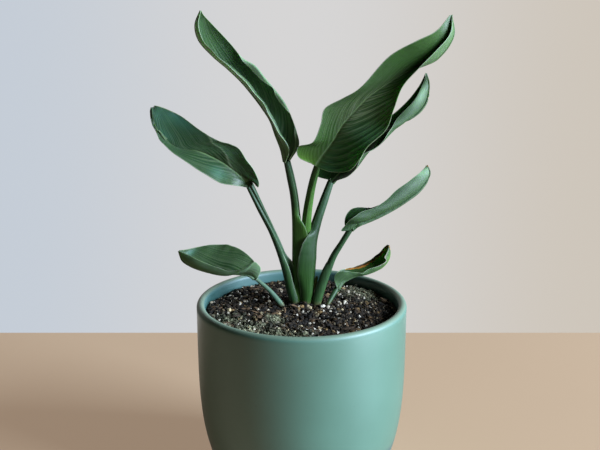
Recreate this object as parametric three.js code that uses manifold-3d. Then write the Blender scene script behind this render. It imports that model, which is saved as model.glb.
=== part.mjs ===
// A young bird of paradise in a glazed ceramic planter: pot, potting mix and seven leaves, each leaf
// a stalk and a blade. Millimetres, +Z up, origin at the centre of the pot's flat base. Seen from -Y,
// +X is to the right. Leaves are named by their height and side as seen from there.
import * as THREE from 'three';
import { mergeVertices } from 'three/addons/utils/BufferGeometryUtils.js';
import Module from 'manifold-3d';

const wasm = await Module();
wasm.setup();

// ---- driving dimensions -------------------------------------------------------------------------
const CLEARANCE = 0.35;          // gap kept between pieces that touch on the real plant

const POT_HEIGHT = 150;
const POT_RADIUS = 82.6;         // outside, at the rim and down the straight upper wall
const POT_WALL = 6.5;
const POT_FLOOR = 8;
const POT_BASE_BEVEL = 1.5;
const POT_TURN_HEIGHT = 110;     // below this the wall curves in to the foot
const POT_TURN_RADIUS = 50;      // reach of that curve towards the axis
const POT_TURN_DEPTH = 116;      // its reach downwards, a little below the base
const POT_TURN_POWER = 2.7;      // squareness of the curve, 2 would be an ellipse
const POT_FLOOR_ROUND = 5;       // inside corner between wall and floor
const POT_WALL_HEIGHTS = [9, 20, 34, 52, 76, POT_TURN_HEIGHT];
const POT_RIM_STEPS = 6;
const POT_SIDES = 48;

const SOIL_EDGE_HEIGHT = 140.5;  // top of the mix at the pot's wall
const SOIL_MOUND = 3.2;          // rise towards the stalks
const SOIL_LUMP = 1.1;           // unevenness of the surface
const SOIL_CRUMB = 0.7;          // roughness from crumb to crumb
const SOIL_GAP = 0.7;            // between the mix and the pot's wall, at the corners of the facets
const SOIL_SIDES = 40;
const SOIL_RINGS = 9;
const GRAIN_COUNT = 64;          // perlite and bark pieces standing out of the mix
const GRAIN_SMALL = 1.6;         // half width
const GRAIN_LARGE = 3.2;
const GRAIN_LIFT = 0.15;         // how far a piece's middle stands above the surface, as a share of its size

const BLADE_THICKNESS = 0.8;
const RIB_DEPTH = 1.3;           // the midrib's ridge under the blade, at its base
const BLADE_ROWS = 26;           // along the blade
const HALF_COLUMNS = 5;          // from midrib to margin
const BLADE_BASE_HALF = 2.6;     // half width where the blade leaves its stalk
const BLADE_TIP_HALF = 0.9;
const BLADE_SEAT = 0.7;          // from the stalk's end to the midrib's start

const STALK_SIDES = 12;
const RINGS_PER_STATION = 2;

const COLOURS = {
  glaze: 0x567e6b,
  mix: 0x2b221b,
  stalk: 0x3d6b42,
  blade: 0x2f5a33,
};

// ---- leaves -------------------------------------------------------------------------------------
// rib: points along the midrib from the stalk to the tip. left and right: the two margins, left and
// right as seen from the leaf's base with the upper side facing up. sagLeft and sagRight: how far each
// half bows below the straight line from rib to margin, as a share of its width. stalk: x, y, z of the
// stalk's middle, then its width and depth.
const LEAVES = {
  tall_right: {
    rib: [[10.5, -4, 257.5], [13.5, -4, 262.5], [18, -5, 269], [24, -7, 278], [30, -10, 289],
      [38, -13, 299], [48, -16, 310], [63, -18, 321], [80, -18, 331], [97, -17, 338], [109, -14, 353],
      [107, -12, 368]],
    left: [[-2, -8, 265], [-2, -14, 274], [9, -16, 278], [14, -18, 291], [17, -21, 303], [30, -22, 310],
      [44, -24, 320], [61, -26, 339], [80, -25, 350], [95, -20, 357]],
    right: [[22, -8, 254], [35, -14, 256], [43, -19, 266], [48, -20, 275], [61, -19, 287],
      [66, -22, 302], [71, -24, 317], [81.5, -25.5, 330], [94.5, -23.5, 343], [105.5, -18.5, 355]],
    sagLeft: 0.1, sagRight: 0.15,
    stalk: [[2, 9, 129, 7, 7], [2, 9, 163, 7.4, 7.4], [2.5, 9, 184, 7.6, 7.4], [3.5, 8, 203, 7.6, 7.2],
      [4.5, 6.5, 219, 7, 6.8], [7, 4, 236, 6.2, 6.2], [9.5, 1.5, 248, 5.8, 5.6]],
    stalkEnd: 4.8,
  },
  tall_left: {
    rib: [[-11, -2, 260.5], [-13.5, -3, 271], [-17.5, -4, 281.5], [-21.5, -5, 292.5], [-27.5, -6, 302],
      [-35, -7, 312], [-43.5, -8, 322], [-53, -9, 331], [-63.5, -11, 340], [-73, -12, 350.5],
      [-75.5, -13, 361], [-72, -12, 371]],
    left: [[-9.5, -12, 272], [-16, -17, 286], [-22, -20, 298], [-29, -21, 310], [-39, -23, 322],
      [-50, -23, 333], [-61, -23, 341], [-69, -23, 350], [-73, -21, 361]],
    right: [[-2.5, -3, 272.5], [-4, -7, 284], [-8, -9.5, 295.5], [-12, -11, 305], [-18.5, -12, 314],
      [-24.5, -12.5, 321], [-33, -12.5, 332], [-43, -12, 338], [-52.5, -11, 349], [-63, -11, 360],
      [-70, -11.5, 367.5]],
    sagLeft: 0.22, sagRight: 0.2,
    stalk: [[-3.5, 8.5, 129, 7.6, 7.6], [-4, 8.5, 163, 7.4, 7.4], [-4, 8.5, 184, 7, 7.4],
      [-4, 7.5, 203, 6.8, 7.2], [-4.5, 6.5, 219, 6.6, 6.8], [-6, 4.5, 234, 6.2, 6.4],
      [-8.5, 1.5, 248, 6, 6]],
    stalkEnd: 5.2,
  },
  back_right: {
    rib: [[23, 19, 241], [31, 22, 248.5], [39.5, 24, 256], [48, 26, 263], [55.5, 27, 270],
      [63, 28, 276.5], [70.5, 30, 281.5], [77.5, 33, 285.5], [85.5, 36, 289], [93, 39, 293.5],
      [98.5, 42, 300], [101, 44, 309], [101, 45, 316.5], [98.5, 45, 323]],
    left: [[12.5, 27, 244], [14, 32, 249.5], [26, 35, 256.5], [37, 36, 265.5], [47.5, 37, 273.5],
      [58.5, 38, 281], [68.5, 39, 287.5], [78.5, 41, 295.5], [87, 43, 304], [93.5, 45, 312.5],
      [97, 46, 319]],
    right: [[28.5, 14, 243], [36, 12, 246.5], [42, 12, 252], [45.5, 13, 258.5], [48, 15, 263.5],
      [55.5, 18, 266], [63, 21, 271.5], [68.5, 25, 279.5], [74, 29, 287], [80.5, 33, 294],
      [88.5, 37, 301.5], [94, 41, 310], [97.5, 44, 317]],
    sagLeft: 0.15, sagRight: 0.22,
    stalk: [[2.5, 8, 131, 7.4, 8], [2.5, 8, 144, 7.4, 9.5], [3.8, 8, 155, 8.8, 11.5],
      [5.2, 8, 168, 10.8, 12.4], [6.1, 8, 182, 11.4, 12], [8, 9.5, 196, 9, 9],
      [12.3, 12.5, 211, 7.4, 7.4], [17.5, 15.5, 226, 6.6, 6.6]],
    stalkEnd: 5.2,
  },
  mid_left: {
    rib: [[-39.5, -6, 243.5], [-47.5, -8, 252], [-56.5, -9, 259.5], [-66, -9, 265], [-76.5, -9, 269.5],
      [-86.5, -8, 270.5], [-94.5, -7, 272.5], [-100, -6, 276.5], [-106.5, -6, 283.5], [-110, -6, 291],
      [-110.5, -7, 297], [-110, -8, 302]],
    left: [[-50.5, -14, 245], [-60.5, -17, 247.5], [-71, -18, 254], [-82.5, -17, 261.5],
      [-95, -13.5, 269], [-103, -10, 275.5], [-107.5, -8, 281.5], [-111, -6.5, 288], [-112.5, -6, 294],
      [-112.5, -6.5, 299], [-111.5, -8, 302]],
    right: [[-34, -13, 242], [-33.5, -13, 247], [-36.5, -14, 255.5], [-41.5, -15, 263],
      [-47, -14, 271], [-53, -12, 275], [-59, -11, 276.5], [-65.5, -10, 279], [-76.5, -7, 285.5],
      [-89, -5, 294.5], [-99.5, -6, 300], [-105.5, -8, 302.5], [-108.5, -8, 303]],
    sagLeft: 0.02, sagRight: 0.1,
    stalk: [[-4.5, 7, 131, 7, 7.6], [-5.5, 7, 144, 7.4, 8.2], [-8.8, 6.5, 157, 7.4, 8.2],
      [-12.4, 5, 174, 6.9, 7.4], [-17.5, 2.5, 191, 6, 6.4], [-23.5, -0.5, 207, 5.2, 5.4],
      [-31, -4, 224, 5.8, 5.2]],
    stalkEnd: 4.4,
  },
  low_left: {
    rib: [[-35.5, -12, 171], [-40.5, -13, 174.5], [-46.5, -13, 175.5], [-55.5, -13, 176],
      [-67.5, -12, 176], [-77.5, -11, 178], [-86, -10, 181], [-92, -9, 185], [-94.5, -8, 192]],
    left: [[-33, -15, 174.5], [-31.5, -19, 181.5], [-35, -23, 187], [-39, -24, 185], [-44, -24, 182.5],
      [-49, -23, 180], [-56, -22, 180.5], [-64, -21, 182.5], [-71.5, -19, 184.5], [-81.5, -16, 188.5],
      [-89, -12, 190.5]],
    right: [[-34.5, -8, 177], [-37, -5, 182], [-40, -3, 185], [-48, -1, 191], [-54.5, 1, 193],
      [-60, 2, 194], [-71, 1, 194], [-82, -1, 192.5], [-89, -5, 192]],
    sagLeft: 0.28, sagRight: 0.12,
    stalk: [[-10, 6, 133, 5, 5], [-15.5, 3, 143, 5, 5], [-20, -1, 151, 4.4, 4.4],
      [-26.5, -5.5, 160.5, 3.4, 3.4]],
    stalkEnd: 2.8,
  },
  mid_right: {
    rib: [[38, 2, 207], [43, 3, 210.5], [50, 6, 212.5], [60, 10, 215.5], [71.5, 15, 220],
      [82.5, 20, 225.5], [92.5, 26, 231], [99.5, 31, 237.5], [103, 34, 244.5], [100.5, 35, 251]],
    left: [[34.5, 8, 207.5], [34.5, 11, 213], [37.5, 14, 218], [42, 15.5, 220], [47.5, 17, 220.5],
      [55, 18, 220], [64.5, 20, 222.5], [76.5, 24, 229.5], [86.5, 29, 237.5], [94.5, 33, 243],
      [100, 35, 247.5]],
    right: [[31, -3, 206.5], [34.5, -1, 211], [38.5, -3, 216], [45.5, 0, 220], [56.5, 5, 223],
      [66, 11, 227.5], [76, 17, 235], [86.5, 24, 241], [94.5, 30, 245.5], [99, 34, 249]],
    sagLeft: 0.15, sagRight: 0.25,
    stalk: [[10.5, 7, 131, 7.4, 7.6], [11.5, 7, 142.5, 7.8, 8.2], [14.7, 6.5, 155.5, 7.6, 8.2],
      [19.6, 5, 170, 6.6, 7.4], [24.8, 3.5, 184, 5.4, 5.8], [31, 2.5, 195, 4.6, 4.8]],
    stalkEnd: 3.2,
  },
  low_right: {
    rib: [[28, 14, 153.5], [32.5, 17, 157.5], [38, 20, 160], [45, 23, 162], [53, 26, 162.5],
      [61, 29, 164.5], [67, 32, 167], [71.5, 35, 171.5], [73, 36, 177], [72, 36, 184]],
    left: [[27.5, 20, 162.5], [31.5, 25, 165.5], [36, 29, 165.5], [41, 32, 166], [47, 35, 166.5],
      [52, 38, 167.5], [57, 40, 170], [62, 41.5, 173], [65.5, 42, 176], [68.5, 40.5, 180.5],
      [71, 38, 183.5]],
    right: [[26.5, 12, 163.5], [29.5, 12, 168], [34, 13, 169], [39, 15, 167.5], [44, 17, 166],
      [48.5, 19, 165.5], [53, 21.5, 166.5], [58, 23.5, 168], [63, 26, 169], [67.5, 28.5, 171],
      [70, 30, 172.5], [68.5, 31, 175], [70, 32.5, 177.5], [72, 35, 181.5]],
    sagLeft: 0.2, sagRight: 0.25,
    stalk: [[19.5, 1.5, 136, 4.4, 4.4], [21, 4, 143, 4.6, 4.4], [23.5, 8, 147.5, 5.4, 4.8]],
    stalkEnd: 5.6,
  },
};

// ---- helpers ------------------------------------------------------------------------------------
const toVector = ([x, y, z]) => new THREE.Vector3(x, y, z);

const curveThrough = (vectors) => new THREE.CatmullRomCurve3(vectors, false, 'catmullrom', 0.5);

function meshGeometry(points, triangles) {
  const geometry = new THREE.BufferGeometry();
  geometry.setAttribute('position', new THREE.Float32BufferAttribute(points.flatMap((p) => [p.x, p.y, p.z]), 3));
  geometry.setIndex(triangles);
  return geometry;
}

function toSolid(geometry) {
  const bare = geometry.clone();
  bare.deleteAttribute('normal');
  bare.deleteAttribute('uv');
  const merged = mergeVertices(bare);
  return new wasm.Manifold(new wasm.Mesh({
    numProp: 3,
    vertProperties: Float32Array.from(merged.attributes.position.array),
    triVerts: Uint32Array.from(merged.index.array),
  }));
}

function toGeometry(solid) {
  const mesh = solid.getMesh();
  const geometry = new THREE.BufferGeometry();
  geometry.setAttribute('position', new THREE.BufferAttribute(mesh.vertProperties, 3));
  geometry.setIndex(new THREE.BufferAttribute(mesh.triVerts, 1));
  return geometry;
}

// Cutting a stalk by its neighbours can leave loose slivers, so only its largest body is kept.
function largestBody(solid) {
  return solid.decompose().reduce((best, body) => (body.volume() > best.volume() ? body : best));
}

function seededRandom(seed) {
  let state = seed;
  return () => {
    state = (state + 0x6d2b79f5) | 0;
    let t = Math.imul(state ^ (state >>> 15), 1 | state);
    t = (t + Math.imul(t ^ (t >>> 7), 61 | t)) ^ t;
    return ((t ^ (t >>> 14)) >>> 0) / 4294967296;
  };
}

// ---- pot ----------------------------------------------------------------------------------------
function potRadiusAt(z) {
  const t = Math.max(0, (POT_TURN_HEIGHT - z) / POT_TURN_DEPTH);
  return POT_RADIUS - POT_TURN_RADIUS * (1 - (1 - t ** POT_TURN_POWER) ** (1 / POT_TURN_POWER));
}

function potGeometry() {
  const rimRadius = POT_WALL / 2;
  const rimCentre = POT_RADIUS - rimRadius;
  const rimHeight = POT_HEIGHT - rimRadius;
  const profile = [[0, 0], [potRadiusAt(POT_BASE_BEVEL) - POT_BASE_BEVEL, 0]];
  for (const z of [POT_BASE_BEVEL, ...POT_WALL_HEIGHTS]) profile.push([potRadiusAt(z), z]);
  for (let i = 0; i <= POT_RIM_STEPS; i++) {
    const angle = Math.PI * i / POT_RIM_STEPS;
    profile.push([rimCentre + rimRadius * Math.cos(angle), rimHeight + rimRadius * Math.sin(angle)]);
  }
  for (const z of POT_WALL_HEIGHTS.slice(1).reverse()) profile.push([potRadiusAt(z) - POT_WALL, z]);
  const floorEdge = potRadiusAt(POT_FLOOR) - POT_WALL;
  profile.push([floorEdge, POT_FLOOR + POT_FLOOR_ROUND], [floorEdge - POT_FLOOR_ROUND, POT_FLOOR], [0, POT_FLOOR]);
  const geometry = new THREE.LatheGeometry(profile.map(([r, z]) => new THREE.Vector2(r, z)), POT_SIDES);
  return geometry.rotateX(Math.PI / 2);
}

// ---- soil ---------------------------------------------------------------------------------------
function soilHeightAt(x, y) {
  const reach = POT_RADIUS - POT_WALL;
  const mound = SOIL_MOUND * (1 - (x * x + y * y) / (reach * reach));
  const lumps = Math.sin(0.09 * x + 1.3) * Math.cos(0.11 * y - 0.4) + 0.6 * Math.sin(0.23 * x - 0.19 * y + 2.1);
  return SOIL_EDGE_HEIGHT + mound + SOIL_LUMP * lumps;
}

function soilGeometry() {
  const random = seededRandom(11);
  const wallRadius = (z) => potRadiusAt(z) - POT_WALL - SOIL_GAP;
  const bottom = POT_FLOOR + CLEARANCE;
  const profile = [[0, bottom], [wallRadius(POT_FLOOR) - POT_FLOOR_ROUND, bottom],
    [wallRadius(POT_FLOOR), bottom + POT_FLOOR_ROUND]];
  for (const z of POT_WALL_HEIGHTS.slice(1)) profile.push([wallRadius(z), z]);
  const topRadius = wallRadius(POT_HEIGHT);
  for (let i = SOIL_RINGS; i >= 0; i--) profile.push([topRadius * i / SOIL_RINGS, SOIL_EDGE_HEIGHT]);
  const lathe = new THREE.LatheGeometry(profile.map(([r, z]) => new THREE.Vector2(r, z)), SOIL_SIDES);
  lathe.rotateX(Math.PI / 2);
  lathe.deleteAttribute('normal');
  lathe.deleteAttribute('uv');
  const geometry = mergeVertices(lathe);
  const place = geometry.attributes.position;
  for (let i = 0; i < place.count; i++) {
    if (place.getZ(i) < SOIL_EDGE_HEIGHT - 1) continue;
    const crumb = SOIL_CRUMB * (2 * random() - 1);
    place.setZ(i, soilHeightAt(place.getX(i), place.getY(i)) + crumb);
  }
  return geometry;
}

// Perlite and bark pieces, each a squashed eight-sided lump sunk to about its middle.
function addGrains(soil) {
  const random = seededRandom(5);
  const reach = POT_RADIUS - POT_WALL - 2 * GRAIN_LARGE;
  let mix = soil;
  for (let i = 0; i < GRAIN_COUNT; i++) {
    const radius = reach * Math.sqrt(random());
    const angle = 2 * Math.PI * random();
    const size = THREE.MathUtils.lerp(GRAIN_SMALL, GRAIN_LARGE, random() ** 2);
    const x = radius * Math.cos(angle);
    const y = radius * Math.sin(angle);
    const grain = new THREE.OctahedronGeometry(size);
    grain.scale(1, 0.7 + 0.3 * random(), 0.6 + 0.3 * random());
    grain.rotateZ(2 * Math.PI * random());
    grain.rotateX(0.8 * random());
    grain.translate(x, y, soilHeightAt(x, y) + GRAIN_LIFT * size);
    mix = mix.add(toSolid(grain));
  }
  return mix;
}

// ---- leaves: stalks -----------------------------------------------------------------------------
// A stalk is an oval section swept from below the soil to the blade's base. grow makes it larger all
// round, for the hole that it stands in and for the hollow where a neighbour's sheath wraps it.
function stalkGeometry({ stalk, stalkEnd, rib }, grow = 0) {
  const foot = toVector(rib[0]);
  const along = curveThrough(rib.map(toVector)).getTangent(0);
  const last = foot.clone().addScaledVector(along, -BLADE_SEAT);
  const stations = [...stalk, [last.x, last.y, last.z, stalkEnd, stalkEnd]];
  const curve = curveThrough(stations.map(toVector));
  const rings = RINGS_PER_STATION * (stations.length - 1);
  const points = [];
  for (let i = 0; i <= rings; i++) {
    const t = i / rings;
    const tangent = i === rings ? along : curve.getTangent(t);
    const middle = curve.getPoint(t);
    if (i === 0) middle.addScaledVector(tangent, -grow);
    if (i === rings) middle.addScaledVector(tangent, grow);
    const from = Math.min(Math.floor(i / RINGS_PER_STATION), stations.length - 2);
    const share = i / RINGS_PER_STATION - from;
    const halfWidth = THREE.MathUtils.lerp(stations[from][3], stations[from + 1][3], share) / 2 + grow;
    const halfDepth = THREE.MathUtils.lerp(stations[from][4], stations[from + 1][4], share) / 2 + grow;
    const across = new THREE.Vector3(0, 1, 0).cross(tangent).normalize();
    const inward = tangent.clone().cross(across).normalize();
    for (let k = 0; k < STALK_SIDES; k++) {
      const angle = 2 * Math.PI * k / STALK_SIDES;
      points.push(middle.clone()
        .addScaledVector(across, halfWidth * Math.cos(angle))
        .addScaledVector(inward, halfDepth * Math.sin(angle)));
    }
  }
  const triangles = [];
  for (let i = 0; i < rings; i++) {
    for (let k = 0; k < STALK_SIDES; k++) {
      const next = (k + 1) % STALK_SIDES;
      const a = i * STALK_SIDES + k;
      const b = i * STALK_SIDES + next;
      triangles.push(a, b, b + STALK_SIDES, a, b + STALK_SIDES, a + STALK_SIDES);
    }
  }
  const top = rings * STALK_SIDES;
  for (let k = 1; k < STALK_SIDES - 1; k++) {
    triangles.push(0, k + 1, k);
    triangles.push(top, top + k, top + k + 1);
  }
  return meshGeometry(points, triangles);
}

// ---- leaves: blades -----------------------------------------------------------------------------
// A blade is one thin solid: two halves that leave the midrib, bow below the straight line to their
// margins, and rise and fall with them. Both faces are split into triangles alike.
function bladeGeometry({ rib, left, right, sagLeft, sagRight }) {
  const ribCurve = curveThrough(rib.map(toVector));
  const marginCurve = (margin, side) => {
    const end = (index, tangent, half) => {
      const across = toVector(right.at(index)).sub(toVector(left.at(index)));
      across.addScaledVector(tangent, -across.dot(tangent)).normalize();
      return toVector(rib.at(index)).addScaledVector(across, side * half);
    };
    const base = end(0, ribCurve.getTangent(0), BLADE_BASE_HALF);
    const tip = end(-1, ribCurve.getTangent(1), BLADE_TIP_HALF);
    return curveThrough([base, ...margin.map(toVector), tip]);
  };
  const halves = [
    { curve: marginCurve(left, -1), side: -1, sag: sagLeft },
    { curve: marginCurve(right, 1), side: 1, sag: sagRight },
  ];
  const columns = 2 * HALF_COLUMNS + 1;
  const grid = [];
  for (let i = 0; i < BLADE_ROWS; i++) {
    const t = i / (BLADE_ROWS - 1);
    const middle = ribCurve.getPoint(t);
    const tangent = ribCurve.getTangent(t);
    const row = new Array(columns);
    row[HALF_COLUMNS] = middle;
    for (const { curve, side, sag } of halves) {
      const margin = curve.getPoint(t);
      const width = margin.clone().sub(middle);
      const up = width.clone().cross(tangent).normalize().multiplyScalar(side);
      const control = middle.clone().addScaledVector(width, 0.5).addScaledVector(up, -sag * width.length());
      const section = new THREE.QuadraticBezierCurve3(middle, control, margin);
      for (let j = 1; j <= HALF_COLUMNS; j++) {
        row[HALF_COLUMNS + side * j] = section.getPoint(j / HALF_COLUMNS);
      }
    }
    grid.push(row);
  }
  const upper = [];
  const under = [];
  for (let i = 0; i < BLADE_ROWS; i++) {
    for (let j = 0; j < columns; j++) {
      const lengthwise = grid[Math.min(i + 1, BLADE_ROWS - 1)][j].clone().sub(grid[Math.max(i - 1, 0)][j]);
      const crosswise = grid[i][Math.min(j + 1, columns - 1)].clone().sub(grid[i][Math.max(j - 1, 0)]);
      const normal = crosswise.cross(lengthwise).normalize();
      const ridge = j === HALF_COLUMNS ? RIB_DEPTH * (1 - 0.9 * i / (BLADE_ROWS - 1)) : 0;
      upper.push(grid[i][j].clone().addScaledVector(normal, BLADE_THICKNESS / 2));
      under.push(grid[i][j].clone().addScaledVector(normal, -BLADE_THICKNESS / 2 - ridge));
    }
  }
  const lower = upper.length;
  const triangles = [];
  for (let i = 0; i < BLADE_ROWS - 1; i++) {
    for (let j = 0; j < columns - 1; j++) {
      const a = i * columns + j;
      const b = a + 1;
      const c = b + columns;
      const d = a + columns;
      triangles.push(a, b, c, a, c, d);
      triangles.push(lower + a, lower + c, lower + b, lower + a, lower + d, lower + c);
    }
  }
  const outline = [];
  for (let j = 0; j < columns - 1; j++) outline.push(j);
  for (let i = 0; i < BLADE_ROWS - 1; i++) outline.push(i * columns + columns - 1);
  for (let j = columns - 1; j > 0; j--) outline.push((BLADE_ROWS - 1) * columns + j);
  for (let i = BLADE_ROWS - 1; i > 0; i--) outline.push(i * columns);
  outline.forEach((a, index) => {
    const b = outline[(index + 1) % outline.length];
    triangles.push(a, lower + a, lower + b, a, lower + b, b);
  });
  return meshGeometry([...upper, ...under], triangles);
}

// ---- assembly -----------------------------------------------------------------------------------
function namedMesh(name, geometry, color, roughness) {
  const mesh = new THREE.Mesh(geometry, new THREE.MeshStandardMaterial({ color, roughness, metalness: 0 }));
  mesh.name = name;
  return mesh;
}

const pottedPlant = new THREE.Group();
pottedPlant.add(namedMesh('pot', potGeometry(), COLOURS.glaze, 0.45));

let soil = addGrains(toSolid(soilGeometry()));
const grownStalks = [];
for (const [name, leaf] of Object.entries(LEAVES)) {
  let stalk = toSolid(stalkGeometry(leaf));
  for (const neighbour of grownStalks) stalk = stalk.subtract(neighbour);
  const grown = toSolid(stalkGeometry(leaf, CLEARANCE));
  grownStalks.push(grown);
  soil = soil.subtract(grown);
  const leafGroup = new THREE.Group();
  leafGroup.add(namedMesh(`stalk_${name}`, toGeometry(largestBody(stalk)), COLOURS.stalk, 0.5));
  leafGroup.add(namedMesh(`blade_${name}`, bladeGeometry(leaf), COLOURS.blade, 0.45));
  pottedPlant.add(leafGroup);
}
pottedPlant.add(namedMesh('soil', toGeometry(largestBody(soil)), COLOURS.mix, 0.95));

export default pottedPlant;
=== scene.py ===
# A young bird of paradise in a glazed planter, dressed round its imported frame. +Z is up, the origin is
# the centre of the planter's flat foot, and the photograph is taken from the -Y side, +X to the right.
# Sizes are written in millimetres, and MM turns them into metres where Blender is given them.
import math
import random

import bpy
import numpy as np
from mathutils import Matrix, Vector, noise


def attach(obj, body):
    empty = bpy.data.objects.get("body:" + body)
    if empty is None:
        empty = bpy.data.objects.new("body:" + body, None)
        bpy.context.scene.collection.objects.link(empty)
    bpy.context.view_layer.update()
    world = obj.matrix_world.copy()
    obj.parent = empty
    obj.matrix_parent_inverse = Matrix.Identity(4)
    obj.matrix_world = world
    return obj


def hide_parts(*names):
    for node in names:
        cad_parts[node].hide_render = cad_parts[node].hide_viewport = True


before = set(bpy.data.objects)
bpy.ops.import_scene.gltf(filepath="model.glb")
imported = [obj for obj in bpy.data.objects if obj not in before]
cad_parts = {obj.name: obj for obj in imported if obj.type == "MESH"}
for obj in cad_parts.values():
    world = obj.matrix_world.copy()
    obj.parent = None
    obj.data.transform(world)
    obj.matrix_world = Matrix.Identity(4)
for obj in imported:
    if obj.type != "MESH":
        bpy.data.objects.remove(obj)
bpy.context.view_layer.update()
MM = 0.001

# ---- Planter ----------------------------------------------------------------------------------------
# A slip-cast stoneware pot, straight in its upper wall and curving in to a flat foot, with a rounded
# rim. It is dipped in a satin grey-green glaze, which is wiped off the foot before the firing.
POT_HEIGHT = 150
POT_RADIUS = 82.6
POT_WALL = 6.5
POT_FLOOR = 8
POT_FLOOR_ROUND = 5
POT_TURN_HEIGHT = 110
POT_TURN_RADIUS = 50
POT_TURN_DEPTH = 116
POT_TURN_POWER = 2.7
POT_SIDES = 192
# Heights of the profile's points between the foot and the rim. The inside starts above the floor.
WALL_HEIGHTS = (4, 6, 9, 12, 16, 20, 25, 30, 36, 42, 49, 56, 64, 73, 84, 96, 110, 128)
INSIDE_HEIGHTS = WALL_HEIGHTS[4:]
FOOT_ROUND = 1.5
BARE_FOOT_HEIGHT = 2.4
GLAZE_THICKNESS = 0.35
GLAZE_STEP = 0.3
RIM_WORN = (144, 148)  # heights between which the glaze loses its gloss
RIM_PAINTED_HIGHLIGHT = (147.8, 149.7)  # heights between which the rim's top is painted paler, a painted highlight
PAINTED_REFLECTION_WITHIN = (76.5, 78.5)  # distances from the axis between which the painted reflection of the cool light ends


def pot_radius(height):
    """The pot's outside radius at a height, all in millimetres."""
    turn = max(0.0, (POT_TURN_HEIGHT - height) / POT_TURN_DEPTH)
    return POT_RADIUS - POT_TURN_RADIUS * (1 - (1 - turn**POT_TURN_POWER) ** (1 / POT_TURN_POWER))


def new_piece(name):
    """Names the primitive that was just added, and opens it in edit mode with all of it selected."""
    piece = bpy.context.object
    piece.name = piece.data.name = name
    bpy.ops.object.mode_set(mode="EDIT")
    bpy.ops.mesh.select_all(action="SELECT")
    return piece


def close_piece(smooth_angle=None):
    """Turns the faces outwards, leaves edit mode and smooths what is flatter than the angle."""
    bpy.ops.mesh.select_all(action="SELECT")
    bpy.ops.mesh.normals_make_consistent(inside=False)
    bpy.ops.object.mode_set(mode="OBJECT")
    if smooth_angle:
        bpy.ops.object.shade_smooth_by_angle(angle=math.radians(smooth_angle))


def extrude_rings(profile):
    """Raises the selected disc of radius profile[0][0] through the other (radius, height) pairs."""
    for (radius, height), (next_radius, next_height) in zip(profile, profile[1:]):
        rise = (next_height - height) * MM
        bpy.ops.mesh.extrude_region_move(TRANSFORM_OT_translate={"value": (0, 0, rise)})
        bpy.ops.transform.resize(value=(next_radius / radius, next_radius / radius, 1))


rim_round = POT_WALL / 2
bare_foot = pot_radius(FOOT_ROUND) - GLAZE_THICKNESS
glaze_end = BARE_FOOT_HEIGHT + GLAZE_STEP
floor_edge = pot_radius(POT_FLOOR) - POT_WALL
pot_profile = [(bare_foot - FOOT_ROUND, 0)]
pot_profile += [(bare_foot - FOOT_ROUND * (1 - math.sin(a)), FOOT_ROUND * (1 - math.cos(a)))
                for a in np.radians((30, 60, 90))]
pot_profile += [(pot_radius(BARE_FOOT_HEIGHT) - GLAZE_THICKNESS, BARE_FOOT_HEIGHT),
                (pot_radius(glaze_end), glaze_end)]
pot_profile += [(pot_radius(h), h) for h in WALL_HEIGHTS]
pot_profile += [(POT_RADIUS - rim_round * (1 - math.cos(a)), POT_HEIGHT - rim_round * (1 - math.sin(a)))
                for a in np.radians(np.linspace(0, 180, 17))]
pot_profile += [(pot_radius(h) - POT_WALL, h) for h in reversed(INSIDE_HEIGHTS)]
pot_profile += [(floor_edge - POT_FLOOR_ROUND * (1 - math.cos(a)),
                 POT_FLOOR + POT_FLOOR_ROUND * (1 - math.sin(a))) for a in np.radians((0, 22, 45, 67, 90))]

bpy.ops.object.select_all(action="DESELECT")
bpy.ops.mesh.primitive_circle_add(vertices=POT_SIDES, radius=pot_profile[0][0] * MM, fill_type="NGON")
pot = new_piece("planter_glazed")
extrude_rings(pot_profile)
close_piece(smooth_angle=35)


def paint(red, green, blue):
    """A shader colour from 0 to 255 values as a paint chart gives them."""
    chart = np.array((red, green, blue)) / 255
    linear = np.where(chart <= 0.04045, chart / 12.92, ((chart + 0.055) / 1.055) ** 2.4)
    return (*linear.tolist(), 1.0)


def set_inputs(tree, made, inputs):
    """Feeds a node's inputs, each from a socket or with a plain value."""
    for key, value in dict(inputs).items():
        if isinstance(value, bpy.types.NodeSocket):
            tree.links.new(value, made.inputs[key])
        else:
            made.inputs[key].default_value = value


def node(tree, kind, inputs=(), out=0, **settings):
    """Adds a node, with its settings and inputs, and returns one of its outputs."""
    made = tree.nodes.new(kind)
    for name, value in settings.items():
        setattr(made, name, value)
    set_inputs(tree, made, inputs)
    return made.outputs[out]


def calc(tree, operation, first, second=0.0, clamp=False):
    """A sum of numbers or sockets, by one Math node."""
    return node(tree, "ShaderNodeMath", {0: first, 1: second}, operation=operation, use_clamp=clamp)


def mix(tree, share, first, second):
    """The two colours mixed by the share."""
    return node(tree, "ShaderNodeMix", {0: share, 6: first, 7: second}, out=2, data_type="RGBA")


def fade(tree, value, low, high, to_low=0.0, to_high=1.0):
    """The value's range low to high, turned into to_low to to_high with soft ends."""
    inputs = {0: value, 1: low, 2: high, 3: to_low, 4: to_high}
    return node(tree, "ShaderNodeMapRange", inputs, interpolation_type="SMOOTHSTEP")


def attribute(tree, name):
    """A number that the mesh carries for each of its points."""
    return node(tree, "ShaderNodeAttribute", out=2, attribute_name=name)


def new_material(name, roughness, **constants):
    """A material with its Principled shader, whose plain values are set on the shader itself."""
    material = bpy.data.materials.new(name)
    material.use_nodes = True
    shader = material.node_tree.nodes["Principled BSDF"]
    shader.inputs["Roughness"].default_value = roughness
    for key, value in constants.items():
        shader.inputs[key.replace("_", " ")].default_value = value
    return material, material.node_tree, shader


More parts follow.
